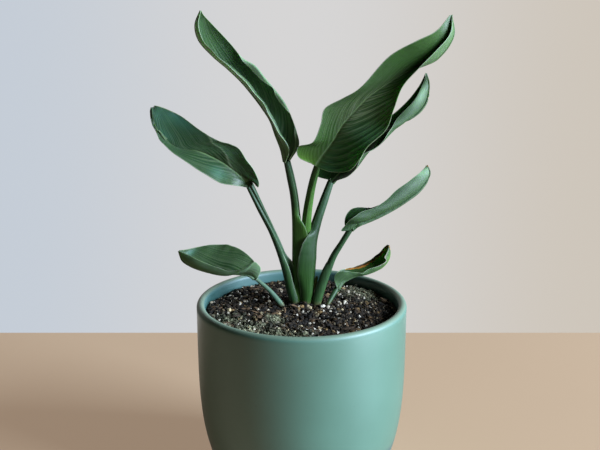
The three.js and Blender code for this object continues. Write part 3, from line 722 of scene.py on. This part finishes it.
def blade_material(name, dark, light, rib_colour, roughness, line_share, wave_mm, tints, **constants):
    """One side of a blade: mottled green with streaks along its side veins, midrib, thin pale edge,
    and the tints that its points carry: (name, colour, share that shows between the streaks too)."""
    material, tree, shader = new_material(name, roughness, **constants)
    place = node(tree, "ShaderNodeTexCoord", out=3)
    cloud = patchy(tree, place, 20.0, 2.0)
    fine = patchy(tree, place, 2.0, 1.5)
    vein = attribute(tree, "vein")
    off_rib = attribute(tree, "off_rib")
    run = node(tree, "ShaderNodeCombineXYZ", {
        0: calc(tree, "MULTIPLY", vein, 5.0), 1: calc(tree, "MULTIPLY", off_rib, 0.07)})
    streak = patchy(tree, run, 1000.0, 2.4, 4.0)
    line = use_group(tree, veins, {"Vein": vein, "Gap": 0.25, "Width": 0.25})
    relief = use_group(tree, veins, {"Vein": vein, "Gap": 0.25}, out=1)
    strong = use_group(tree, veins, {"Vein": vein, "Gap": 1.0, "Width": 0.13})
    green = mix(tree, cloud, dark, light)
    green = mix(tree, calc(tree, "MULTIPLY", streak, 0.5), green, dark)
    streaky = fade(tree, streak, 0.4, 0.7)
    for label, colour, evenly in tints:
        share = calc(tree, "ADD", calc(tree, "MULTIPLY", streaky, 1 - evenly), evenly)
        green = mix(tree, calc(tree, "MULTIPLY", attribute(tree, label), share, clamp=True), green, colour)
    green = mix(tree, calc(tree, "MULTIPLY", line, line_share), green, rib_colour)
    green = mix(tree, calc(tree, "MULTIPLY", strong, line_share), green, rib_colour)
    on_rib = calc(tree, "DIVIDE", off_rib, attribute(tree, "rib_round"))
    green = mix(tree, fade(tree, on_rib, 0.15, 0.65, 0.65, 0), green, rib_colour)
    ragged = calc(tree, "MULTIPLY", calc(tree, "SUBTRACT", fine, 0.5), 0.3)
    scorch = calc(tree, "ADD", attribute(tree, "scorch"), ragged)
    green = mix(tree, fade(tree, scorch, 0.2, 0.4), green, paint(172, 112, 44))
    green = mix(tree, fade(tree, scorch, 0.45, 0.65), green, paint(84, 52, 34))
    green = mix(tree, fade(tree, scorch, 0.75, 0.95), green, paint(34, 26, 20))
    green = mix(tree, attribute(tree, "dry"), green, paint(196, 166, 154))
    green = mix(tree, calc(tree, "MULTIPLY", attribute(tree, "pale"), 0.7), green, paint(158, 174, 142))
    ridge = bump(tree, calc(tree, "ADD", relief, streak), 0.08, 0.25)
    wave = patchy(tree, place, 9.0, detail=1.0)
    waved = node(tree, "ShaderNodeBump", {
        "Height": wave, "Strength": 0.5, "Distance": wave_mm * MM, "Normal": ridge})
    rough = fade(tree, streak, 0, 1, roughness - 0.04, roughness + 0.05)
    feed(tree, shader, Base_Color=green, Roughness=rough, Normal=waved)
    return material


LEAF_GLOW = {"Subsurface_Radius": (0.7, 1.3, 0.3), "Subsurface_Scale": MM}
BLADE_SHEEN = {"Specular_IOR_Level": 0.22, "Subsurface_Weight": 0.3, **LEAF_GLOW}
# Upper side: the first tint is younger tissue and also painted glow where light shines through the blade and
# painted light where it lies in shade. The second is a waxy bloom that is partly a painted grey sheen, and
# the third is a painted teal highlight. Underside: the first tint is its paler colour and also painted
# highlights and glow, and the second is the same young tint.
blade_upper = blade_material(
    "blade_upper", paint(26, 53, 24), paint(37, 71, 31), paint(118, 146, 98), 0.35, 0.14, 0.7,
    (("young_and_painted_light", paint(98, 142, 48), 1.0), ("bloom_and_painted_sheen", paint(134, 148, 114), 0.1),
     ("painted_highlight", paint(76, 134, 118), 0.8)), **BLADE_SHEEN)
blade_under = blade_material(
    "blade_under", paint(45, 69, 38), paint(58, 84, 47), paint(92, 112, 80), 0.5, 0.1, 0.3,
    (("sage_and_painted_light", paint(138, 170, 130), 1.0), ("young_and_painted_light", paint(110, 146, 60), 1.0)), **BLADE_SHEEN)
blade_edge, tree, shader = new_material("blade_edge", 0.5)
cloud = patchy(tree, node(tree, "ShaderNodeTexCoord", out=3), 6.0, 2.0)
feed(tree, shader, Base_Color=mix(tree, cloud, paint(112, 134, 92), paint(156, 172, 136)))

waxy_stalk, tree, shader = new_material(
    "waxy_stalk", 0.45, Specular_IOR_Level=0.3, Subsurface_Weight=0.15, **LEAF_GLOW)
place = node(tree, "ShaderNodeTexCoord", out=3)
stretched = node(tree, "ShaderNodeMapping", {"Vector": place, "Scale": (1, 1, 0.05)})
streak = patchy(tree, stretched, 0.9, 2.2)
cloud = patchy(tree, place, 16.0, 1.8)
green = mix(tree, cloud, paint(25, 54, 23), paint(34, 68, 30))
# Young tissue with painted glow and light, then a waxy bloom that is partly painted light and shade.
green = mix(tree, attribute(tree, "fresh_and_painted_light"), green, paint(98, 148, 58))
green = mix(tree, attribute(tree, "waxy_and_painted_light"), green, paint(128, 160, 140))
green = mix(tree, calc(tree, "MULTIPLY", streak, 0.4), green, paint(22, 46, 20))
green = mix(tree, calc(tree, "MULTIPLY", attribute(tree, "lip"), 0.85), green, paint(190, 206, 176))
height = node(tree, "ShaderNodeSeparateXYZ", {0: place}, out=2)
dusty = fade(tree, height, STALK_DUSTY[0] * MM, STALK_DUSTY[1] * MM, 0.5, 0)
green = mix(tree, dusty, green, paint(110, 92, 62))
feed(tree, shader, Base_Color=green, Normal=bump(tree, streak, 0.12, 0.6))


def dress_leaf(name, leaf):
    """Makes a leaf's stalk and blade, in place of the frame's plain ones. rib, left and right are
    points on the midrib and the two edges, from the stalk to the tip. stalk is x, y, z, width and
    depth, from the foot up. Tables run along the blade or the stalk from 0 to 1, except the two of
    the sheath's lips, which go by height."""
    for part, slot, make in (("stalk", "stalk", grow_stalk), ("blade", "leaf", grow_blade)):
        piece = make(f"{name}_{part}", leaf)
        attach(piece, "root")
        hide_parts(f"{part}_{name}")


dress_leaf("tall_right", {
    "rib": [[10.5, -4, 257.5], [13.5, -4, 262.5], [18, -5, 269], [24, -7, 278], [30, -10, 289],
            [38, -13, 299], [48, -16, 310], [63, -18, 321], [80, -18, 331], [97, -17, 338],
            [108, -14, 353], [106.5, -12, 368]],
    "left": [[-2, -8, 265], [-2, -14, 274], [9, -16, 278], [14, -18, 291], [17, -21, 303],
             [30, -22, 310], [44, -24, 320], [61, -26, 339], [80, -25, 350], [95, -20, 357]],
    "right": [[22, -8, 254], [35, -14, 256], [43, -19, 266], [48, -20, 275], [61, -19, 287], [66, -22, 302],
              [71, -24, 317], [81.5, -25.5, 330], [94.5, -23.5, 343], [105.5, -18.5, 355]],
    "sag": (0.1, 0.15),
    "stalk": [[2, 9, 129, 7.0, 7.0], [2, 9, 163, 7.4, 7.4], [2.5, 9, 184, 7.6, 7.4], [3.5, 8, 203, 7.6, 7.2],
              [4.5, 6.5, 219, 7.0, 6.8], [7, 4, 236, 6.2, 6.2], [9.5, 1.5, 248, 5.8, 5.6]],
    "stalk_top": [12.5, -1.5, 259.5],
    "stalk_end": 4.8, "foot_groove": -160, "groove": [(0, 0.2, 42), (0.5, 0.08, 36), (1, 0.05, 30)],
    "fresh_and_painted_light": [(0, 0.4), (0.5, 0.6), (0.65, 0.5), (0.8, 0.25), (1, 0.15)], "waxy_and_painted_light": 0.0,
    "pale_lip": [(0, 0.3), (0.5, 0.2), (0.7, 0)],
    "pleats": (0.3, 0.65), "pleat_run": [(0, 0.6), (0.1, 1), (0.45, 1), (0.62, 0.35), (1, 0.2)],
    "rows": 280, "vein_gap": 9.0, "vein_lean": ((1.8, 3.0), (0.45, 1.8)),
    # Its young patches are painted glow at the base lobe and painted light on the shaded right half, where
    # the wax patch is painted light too. Its bloom streaks are partly a painted sheen.
    "sage_and_painted_light": [(0, 0.1), (0.7, 0.25), (1, 0.4)],
    "young_and_painted_light": [(0, 0.3), (0.3, 0.1), (0.6, 0.06), (0.8, 0.12), (1, 0.25)],
    "young_and_painted_light_patches": [(0.03, -0.8, 0.1, 0.7, 0.85), (0.22, 0.6, 0.25, 0.45, 0.2)],
    "bloom_and_painted_sheen": [(0, 0.03), (0.25, 0.1), (0.45, 0.3), (0.6, 0.2), (0.72, 0)],
    "bloom_and_painted_sheen_patches": [(0.3, 0.8, 0.3, 0.5, 0.0), (0.48, 0.05, 0.14, 0.35, 0.75)],
    "painted_highlight_patches": [(0.2, 0.6, 0.25, 0.45, 0.3)],
})

# ---- Tall left leaf ---------------------------------------------------------------------------------
# An older leaf folded along its midrib and seen from the side, so that the outside of its near half
# shows as a narrow strip. Its far edge has dried a little and rolled in, in three places.
dress_leaf("tall_left", {
    "rib": [[-11, -2, 260.5], [-13.5, -3, 271], [-17.5, -4, 281.5], [-21.5, -5, 292.5], [-27.5, -6, 302],
            [-35, -7, 312], [-43.5, -8, 322], [-53, -9, 331], [-63.5, -11, 340], [-73, -12, 350.5],
            [-75.5, -13, 361], [-72, -12, 371]],
    "left": [[-9.5, -12, 272], [-16, -17, 286], [-22, -20, 298], [-29, -21, 310], [-39, -23, 322],
             [-50, -23, 333], [-61, -23, 341], [-69, -23, 350], [-73, -21, 361]],
    "right": [[-2.5, -3, 272.5], [-4, -7, 284], [-8, -9.5, 295.5], [-12, -11, 305], [-18.5, -12, 314],
              [-24.5, -12.5, 321], [-33, -12.5, 332], [-43, -12, 338], [-52.5, -11, 349], [-63, -11, 360],
              [-70, -11.5, 367.5]],
    "sag": (0.22, 0.2),
    "stalk": [[-3.5, 8.5, 129, 7.6, 7.6], [-4, 8.5, 163, 7.4, 7.4], [-4, 8.5, 184, 7.0, 7.4],
              [-4, 7.5, 203, 6.8, 7.2], [-4.5, 6.5, 219, 6.6, 6.8], [-6, 4.5, 234, 6.2, 6.4],
              [-8.5, 1.5, 248, 6.0, 6.0]],
    "stalk_end": 5.2, "foot_groove": 0, "waxy_and_painted_light": [(0.7, 0), (1, 0.15)],
    # Its fresh tint is painted glow through the sheath's middle and painted light on its shaded foot.
    "fresh_and_painted_light": [(0, 0.7), (0.2, 0.55), (0.34, 0.5), (0.45, 0.6), (0.55, 0.4), (0.63, 0.05), (1, 0)],
    "lip_forward": [(150, 0.1), (200, 0.28), (215, 0.4)],
    "lips": [(129, 2, 0), (160, 4.2, 0.5), (190, 5.6, 1), (198, 7.0, 1), (204, 6.2, 1), (209.5, 4.4, 1),
             (213.5, 1.8, 0.5), (218, 0, 0)],
    "hem_right": [(0, 1.8, 150), (0.1, 2.6, 150), (0.16, 1.4, 145), (0.2, 0.3, 80), (0.24, 0.3, 20),
                  (0.27, 0.3, 60), (0.31, 0.9, 140), (0.36, 2.2, 155), (0.4, 1.6, 150), (0.44, 0.4, 100),
                  (0.46, 0.3, 90), (0.49, 0.8, 140), (0.53, 2.6, 155), (0.57, 3.6, 158),
                  (0.61, 2.8, 155), (0.65, 1.2, 140), (0.69, 0.3, 80), (0.73, 0.3, 15)],
    "hem_left": [(0, 0.3, 20), (0.08, 1.2, -50), (0.2, 2.6, -70), (0.32, 3.0, -70), (0.38, 2.0, -60),
                 (0.46, 3.0, -70), (0.6, 2.4, -70), (0.7, 1.2, -40), (0.78, 0.4, -20), (1, 0.3, 10)],
    # Its sage, and the bloom patches along the near half's edge, are painted light on the shaded strip, and
    # its wax is a painted sheen.
    "margin": (0.4, 0.25), "sage_and_painted_light": [(0, 0.5), (0.45, 0.6), (0.62, 1)],
    "young_and_painted_light": [(0, 0.03), (0.7, 0.05), (0.8, 0.15)], "bloom_and_painted_sheen": [(0, 0.35), (0.6, 0.3), (0.8, 0.35)],
    "bloom_and_painted_sheen_patches": [(0.22, -1, 0.13, 0.14, 0.8), (0.5, -1, 0.14, 0.14, 0.8)],
    "painted_highlight": 0.1, "painted_highlight_patches": [(0.51, 0.7, 0.05, 0.12, 0.5)],
})

# ---- Back right leaf --------------------------------------------------------------------------------
# Stands behind the tall right leaf, folded, with the outside of its near half to the viewer. The foot
# of its stalk is a broad sheath that wraps the two tall stalks.
dress_leaf("back_right", {
    "rib": [[23, 19, 241], [31, 22, 248.5], [39.5, 24, 256], [48, 26, 263], [55.5, 27, 270],
            [63, 28, 276.5], [70.5, 30, 281.5], [77.5, 33, 285.5], [85.5, 36, 289], [93, 39, 293.5],
            [98.5, 42, 300], [101, 44, 309], [101, 45, 316.5], [98.5, 45, 323]],
    "left": [[12.5, 27, 244], [14, 32, 249.5], [26, 35, 256.5], [37, 36, 265.5], [47.5, 37, 273.5],
             [58.5, 38, 281], [68.5, 39, 287.5], [78.5, 41, 295.5], [87, 43, 304], [93.5, 45, 312.5],
             [97, 46, 319]],
    "right": [[28.5, 14, 243], [36, 12, 246.5], [42, 12, 252], [45.5, 13, 258.5], [48, 15, 263.5],
              [55.5, 18, 266], [63, 21, 271.5], [68.5, 25, 279.5], [74, 29, 287], [80.5, 33, 294],
              [88.5, 37, 301.5], [94, 41, 310], [97.5, 44, 317]],
    "sag": (0.15, 0.22),
    "stalk": [[2.8, 8, 131, 6.0, 7], [3.5, 8, 147, 10.6, 10.8], [4.2, 8, 155, 11.8, 12],
              [5.1, 8, 168, 11.4, 12.4], [6.1, 8, 182, 11.4, 12], [8, 9, 196, 9.0, 10],
              [12.3, 12.5, 211, 7.4, 7.4], [17.5, 15.5, 226, 6.6, 6.6]],
    "stalk_end": 5.2, "foot_groove": 180, "fresh_and_painted_light": [(0, 0.2), (0.35, 0.16), (0.55, 0.06)],
    "pale_lip": [(0, 0.3), (0.45, 0.4), (0.55, 0.9), (0.66, 1.0), (0.7, 0.2), (1, 0.1)],
    "waxy_and_painted_light": [(0.4, 0), (0.55, 0.04), (0.65, 0.05), (0.75, 0.12), (1, 0.16)],
    "lip_forward": [(150, 0.2), (185, 0.4), (193, 0.8), (197, 1.4), (200, 2.6), (204, 3)],
    "lips": [(129, 0, 0), (148, 0.1, 0), (155, 0.8, 0), (161, 2.4, 0), (170, 4.8, 0), (182, 5.0, 0),
             (190, 4.7, 0), (194, 4.1, 0), (199, 1.7, 0), (202, 0.4, 0), (204, 0, 0)],
    # Its sage patch is a painted highlight near the tip.
    "sage_and_painted_light": [(0.25, 0), (0.4, 0.06), (1, 0.12)], "sage_and_painted_light_patches": [(0.83, 0.62, 0.07, 0.25, 0.9)],
})

# The withered stub of an older sheath grows out of its right side, darkening at the tip.
STUB_FOOT = (6.4, 7.5, 150)
STUB_FOOT_RADIUS = 1.8
STUB_FORWARD = 0.15  # its lean to the viewer, as a share of its lean to the right
STUB_DARK = (166.5, 168)
# Each step's lean to the right, its rise, and what it narrows to.
STUB_STEPS = [(1.8, 4.5, 1), (1.6, 4, 0.95), (1.0, 2.8, 0.9), (0.7, 2.4, 0.85), (0.4, 2, 0.8),
              (0.2, 1.1, 0.6), (0, 0.4, 0.4)]
bpy.ops.object.select_all(action="DESELECT")
bpy.ops.mesh.primitive_circle_add(vertices=24, radius=STUB_FOOT_RADIUS * MM, fill_type="NGON")
stub = new_piece("old_sheath_stub")
bpy.ops.transform.translate(value=Vector(STUB_FOOT) * MM)
for lean, rise, narrowing in STUB_STEPS:
    step = Vector((lean, -STUB_FORWARD * lean, rise)) * MM
    bpy.ops.mesh.extrude_region_move(TRANSFORM_OT_translate={"value": step})
    bpy.ops.transform.resize(value=(narrowing, narrowing, 1))
close_piece(smooth_angle=60)
withered, tree, shader = new_material("withered_sheath", 0.6)
place = node(tree, "ShaderNodeTexCoord", out=3)
height = node(tree, "ShaderNodeSeparateXYZ", {0: place}, out=2)
spots = patchy(tree, place, 2.5, 2.0)
straw = mix(tree, spots, paint(116, 138, 60), paint(168, 172, 104))
dark = fade(tree, height, STUB_DARK[0] * MM, STUB_DARK[1] * MM)
feed(tree, shader, Base_Color=mix(tree, dark, straw, paint(44, 32, 22)))
stub.data.materials.append(withered)
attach(stub, "root")

# ---- Middle left leaf -------------------------------------------------------------------------------
# Spread nearly flat with its upper side to the viewer, on a long slender stalk whose sheath opens
# towards the middle of the plant.
dress_leaf("mid_left", {
    "rib": [[-39.5, -6, 243.5], [-47.5, -8, 252], [-56.5, -9, 259.5], [-66, -9, 265], [-76.5, -9, 269.5],
            [-86.5, -8, 270.5], [-94.5, -7, 272.5], [-100, -6, 276.5], [-106.3, -6, 283.5],
            [-109.6, -6, 291], [-110.1, -7, 297], [-109.7, -8, 302]],
    "left": [[-50.5, -14, 245], [-60.5, -17, 247.5], [-71, -18, 254], [-82.5, -17, 261.5],
             [-95, -13.5, 269], [-102.7, -10, 275.5], [-107.1, -8, 281.5], [-110.6, -6.5, 288],
             [-112, -6, 294], [-112, -6.5, 299], [-111.1, -8, 302]],
    "right": [[-34, -13, 242], [-33.5, -13, 247], [-36.5, -14, 255.5], [-41.5, -15, 263], [-47, -14, 271],
              [-53, -12, 275], [-59, -11, 276.5], [-65.5, -10, 279], [-76.5, -7, 285.5], [-89, -5, 294.5],
              [-99.5, -6, 300], [-105.5, -8, 302.5], [-108.5, -8, 303]],
    "sag": (0.02, 0.1),
    "stalk": [[-4.5, 7, 131, 7.0, 7.6], [-5.5, 7, 144, 7.4, 8.2], [-8.8, 6.5, 157, 7.4, 8.2],
              [-12.4, 5, 174, 6.9, 7.4], [-17.5, 2.5, 191, 6.0, 6.4], [-23.5, -0.5, 207, 5.2, 5.4],
              [-31, -4, 224, 5.8, 5.2]],
    # Its fresh and waxy tints are kept low at the shaded foot, and the waxy one rises where the stalk is
    # lit: painted shade and light.
    "stalk_end": 6.2, "foot_groove": 20, "fresh_and_painted_light": [(0, 0.0), (0.4, 0.1), (0.6, 0.05), (1, 0)],
    "waxy_and_painted_light": [(0, 0), (0.35, 0.02), (0.5, 0.13), (1, 0.08)],
    "lips": [(129, 0, 2), (160, 0.3, 2.4), (172, 0.5, 3.4), (178, 0.4, 3.2), (184, 0, 0.6), (187, 0, 0)],
    "pale_lip": [(0, 0.7), (0.2, 1), (0.5, 0.9), (0.55, 0.2), (1, 0.0)],
    "bloom_and_painted_sheen": [(0, 0.1), (0.3, 0.3), (1, 0.25)],
    "bloom_and_painted_sheen_patches": [(0.1, 0.7, 0.18, 0.5, 0.3), (0.3, -0.7, 0.4, 0.6, 0.25)],
    # Its wax tints are painted teal highlights.
    "hem_left": [(0.6, 0.3, 15), (0.72, 0, 0)], "painted_highlight": [(0, 0), (0.7, 0.1), (0.85, 0.25), (1, 0.5)],
    "painted_highlight_patches": [(0.84, 0.45, 0.09, 0.35, 0.55), (0.72, 0.72, 0.08, 0.22, 0.75),
                    (0.7, 0.12, 0.06, 0.16, 0.4), (0.2, -0.5, 0.05, 0.22, 0.4),
                    (0.2, 0.75, 0.15, 0.4, 0.22)],
    "crease": [(0.02, 0.1), (0.17, 0.18), (0.42, 0.3), (0.5, 0.39), (0.66, 0.54), (0.84, 0.6), (1, 0.62)],
    "crease_fold": 14,
})

# ---- Low left leaf ----------------------------------------------------------------------------------
# The smallest leaf on the left, on a thin pale stalk that leans out over the rim. Its near half folds
# down past the midrib, so that its outside shows below the edge.
dress_leaf("low_left", {
    "rib": [[-35.5, -12, 171], [-40.5, -13, 174.5], [-46.5, -13, 175.5], [-55.5, -13, 176],
            [-67.5, -12, 176], [-77.5, -11, 178], [-86, -10, 181], [-92, -9, 185], [-94.5, -8, 192]],
    "left": [[-33, -15, 174.5], [-31.5, -19, 181.5], [-35, -23, 187], [-39, -24, 185], [-44, -24, 182.5],
             [-49, -23, 180], [-56, -22, 180.5], [-64, -21, 182.5], [-71.5, -19, 184.5],
             [-81.5, -16, 188.5], [-89, -12, 190.5]],
    "right": [[-34.5, -8, 177], [-37, -5, 182], [-40, -3, 185], [-48, -1, 191], [-54.5, 1, 193],
              [-60, 2, 194], [-71, 1, 194], [-82, -1, 192.5], [-89, -5, 192]],
    "sag": (0.28, 0.12),
    "stalk": [[-10, 6, 133, 5.0, 5.0], [-15.5, 3, 143, 5.0, 5.0], [-20, -1, 151, 4.4, 4.4],
              [-26.5, -5.5, 160.5, 3.4, 3.4]],
    "stalk_end": 2.8, "foot_groove": 0, "fresh_and_painted_light": 0.05, "waxy_and_painted_light": [(0, 0.15), (0.4, 0.4), (1, 0.35)],
    # Its sage is partly painted glow on the shaded outside of the near half, and its wax patch is a painted
    # highlight at the tip.
    "sage_and_painted_light": [(0, 0.65), (0.22, 0.6), (0.4, 0.4), (1, 0.35)], "bloom_and_painted_sheen": 0.3,
    "painted_highlight_patches": [(0.84, 0.58, 0.05, 0.2, 0.5)],
})

# ---- Middle right leaf ------------------------------------------------------------------------------
# A narrow folded leaf with the paler outside of its near half to the viewer.
dress_leaf("mid_right", {
    "rib": [[38, 2, 207], [43, 3, 210.5], [50, 6, 212.5], [60, 10, 215.5], [71.5, 15, 220],
            [82.5, 20, 225.5], [92.5, 26, 231], [99.5, 31, 237.5], [103, 34, 244.5], [100.5, 35, 251]],
    "left": [[34.5, 8, 207.5], [34.5, 11, 213], [37.5, 14, 218], [42, 15.5, 220], [47.5, 17, 220.5],
             [55, 18, 220], [64.5, 20, 222.5], [76.5, 24, 229.5], [86.5, 29, 237.5], [94.5, 33, 243],
             [100, 35, 247.5]],
    "right": [[31, -3, 206.5], [34.5, -1, 211], [38.5, -3, 216], [45.5, 0, 220], [56.5, 5, 223],
              [66, 11, 227.5], [76, 17, 235], [86.5, 24, 241], [94.5, 30, 245.5], [99, 34, 249]],
    "sag": (0.15, 0.25),
    "stalk": [[10.5, 7, 131, 7.4, 7.6], [11.5, 7, 142.5, 7.8, 8.2], [14.7, 6.5, 155.5, 7.6, 8.2],
              [19.6, 5, 170, 6.6, 7.4], [24.8, 3.5, 184, 5.4, 5.8], [31, 2.5, 195, 4.6, 4.8]],
    "stalk_end": 4.6, "foot_groove": 180, "fresh_and_painted_light": [(0, 0.1), (0.3, 0.2), (0.6, 0.1), (1, 0.05)],
    "waxy_and_painted_light": [(0, 0.0), (0.4, 0.1), (1, 0.1)],
    "lips": [(129, 0, 0), (150, 0.8, 0.5), (172, 1.6, 0.8), (176, 1.2, 0.5), (178.5, 0, 0)],
    "pale_lip": [(0, 0.2), (1, 0.0)],
    # Its sage rising towards the tip and its sage patches are painted highlights.
    "sage_and_painted_light": [(0, 0.0), (0.6, 0.02), (0.8, 0.12), (1, 0.2)],
    "sage_and_painted_light_patches": [(0.9, 0.6, 0.06, 0.35, 0.95), (0.84, 0.8, 0.06, 0.3, 0.95)],
    "scorch_patches": [(1.0, 0, 0.02, 3, 0.8)],
})

# ---- Low right leaf ---------------------------------------------------------------------------------
# The smallest leaf on the right. Its upper edge is scorched brown and its tip has dried and torn.
dress_leaf("low_right", {
    "rib": [[28, 14, 153.5], [32.5, 17, 157.5], [38, 20, 160], [45, 23, 162], [53, 26, 162.5],
            [61, 29, 164.5], [67, 32, 167], [71.5, 35, 171.5], [73, 36, 177], [72, 36, 184]],
    "left": [[27.5, 20, 162.5], [31.5, 25, 165.5], [36, 29, 165.5], [41, 32, 166], [47, 35, 166.5],
             [52, 38, 167.5], [57, 40, 170], [62, 41.5, 173], [65.5, 42, 176], [68.5, 40.5, 180.5],
             [71, 38, 183.5]],
    "right": [[26.5, 12, 163.5], [29.5, 12, 168], [34, 13, 169], [39, 15, 167.5], [44, 17, 166],
              [48.5, 19, 165.5], [53, 21.5, 166.5], [58, 23.5, 168], [63, 26, 169], [67.5, 28.5, 171],
              [70, 30, 172.5], [68.5, 31, 175], [70, 32.5, 177.5], [72, 35, 181.5]],
    "sag": (0.2, 0.25),
    "stalk": [[19, 1.5, 136, 2.6, 3.2], [20.5, 4, 143, 2.8, 3.2], [23.5, 8, 147.5, 3.6, 3.6]],
    "stalk_end": 4.8, "base_half": 3.0, "rib_swell": [(0, 1), (0.16, 0.25), (1, 0.2)],
    "foot_groove": 100, "rows": 200, "margin": (0.3, 0.12), "fresh_and_painted_light": 0.12, "waxy_and_painted_light": 0.08, "sage_and_painted_light": 0.1,
    # Its young patches are painted light inside the shaded fold.
    "young_and_painted_light": 0.02, "young_and_painted_light_patches": [(0.5, -0.4, 0.15, 0.7, 0.15), (0.76, -0.35, 0.17, 0.8, 1.0)],
    "scorch_patches": [(0.3, -0.86, 0.07, 0.16, 0.6), (0.42, -0.84, 0.1, 0.22, 0.72),
                       (0.56, -0.86, 0.12, 0.18, 0.9), (0.7, -0.88, 0.12, 0.2, 1.0),
                       (0.84, -0.88, 0.12, 0.22, 1.0), (0.98, -0.5, 0.045, 1.4, 1.0)],
    "dry_patches": [(0.78, 0.98, 0.1, 0.16, 1.0), (0.62, 1.0, 0.06, 0.1, 0.6)],
})

# ---- Studio -----------------------------------------------------------------------------------------
# A pale plain top under the planter, a broad cool light from the front right, surroundings that are
# dark in front and bright behind, and the photograph's camera.
TABLE_BACK = 304
TABLE_WIDTH, TABLE_DEPTH = 6000, 1600
LIGHT_SIZE = 1800
LIGHT_WATTS = 395
LIGHT_PLACE = (3130, -1080, 1300)
LIGHT_TARGET = (0, 0, 200)
CAMERA_PLACE = (-1.25, -623.97, 371.1)
CAMERA_DIP = 14.43
bpy.ops.object.select_all(action="DESELECT")
bpy.ops.mesh.primitive_grid_add(x_subdivisions=24, y_subdivisions=24, size=1)
table_top = new_piece("table_top")
bpy.ops.transform.resize(value=(TABLE_WIDTH * MM, TABLE_DEPTH * MM, 1))
bpy.ops.transform.translate(value=(0, (TABLE_BACK - TABLE_DEPTH / 2) * MM, 0))
close_piece()
table_paint, tree, shader = new_material("pale_table", 0.7, Emission_Color=(0.28, 0.2, 0.14, 1))
seen = node(tree, "ShaderNodeLightPath", out=0)
grain = node(tree, "ShaderNodeTexNoise", {"Vector": node(tree, "ShaderNodeTexCoord", out=3), "Scale": 3.0})
feed(tree, shader, Base_Color=mix(tree, grain, paint(152, 130, 103), paint(160, 137, 109)),
     Emission_Strength=fade(tree, seen, 0, 1, 0.2, 1))
table_top.data.materials.append(table_paint)

lamp = bpy.data.lights.new("window", "AREA")
lamp.shape, lamp.size = "SQUARE", LIGHT_SIZE * MM
lamp.energy, lamp.color = LIGHT_WATTS, (0.66, 0.8, 1.0)
window = bpy.data.objects.new("window", lamp)
bpy.context.collection.objects.link(window)
window.location = Vector(LIGHT_PLACE) * MM
window.rotation_euler = (Vector(LIGHT_TARGET) - Vector(LIGHT_PLACE)).to_track_quat("-Z", "Y").to_euler()

world = bpy.data.worlds.new("studio")
bpy.context.scene.world = world
world.use_nodes = True
tree = world.node_tree
way = node(tree, "ShaderNodeTexCoord", out=0)
behind = fade(tree, node(tree, "ShaderNodeSeparateXYZ", {0: way}, out=1), 0.45, 0.95)
room = mix(tree, behind, (0.012, 0.011, 0.01, 1), (0.7, 0.69, 0.66, 1))
lit = node(tree, "ShaderNodeBackground", {"Color": room, "Strength": 1.0})
across_wall = node(tree, "ShaderNodeSeparateXYZ", {0: way})
wall_paint = mix(tree, fade(tree, across_wall, -0.35, 0.0), paint(197, 205, 215), paint(214, 213, 213))
wall_paint = mix(tree, fade(tree, across_wall, 0.0, 0.35), wall_paint, paint(206, 198, 187))
wall = node(tree, "ShaderNodeBackground", {"Color": wall_paint, "Strength": 1.0})
seen = node(tree, "ShaderNodeLightPath", out=0)
sky = node(tree, "ShaderNodeMixShader", {0: seen, 1: lit, 2: wall})
tree.links.new(sky, tree.nodes["World Output"].inputs["Surface"])

camera = bpy.data.objects.new("camera", bpy.data.cameras.new("camera"))
bpy.context.collection.objects.link(camera)
camera.location = [distance * MM for distance in CAMERA_PLACE]
camera.rotation_euler = (math.radians(90 - CAMERA_DIP), 0, 0)
camera.data.lens, camera.data.sensor_width = 50, 36
bpy.context.scene.camera = camera
bpy.context.scene.view_settings.view_transform = "Standard"
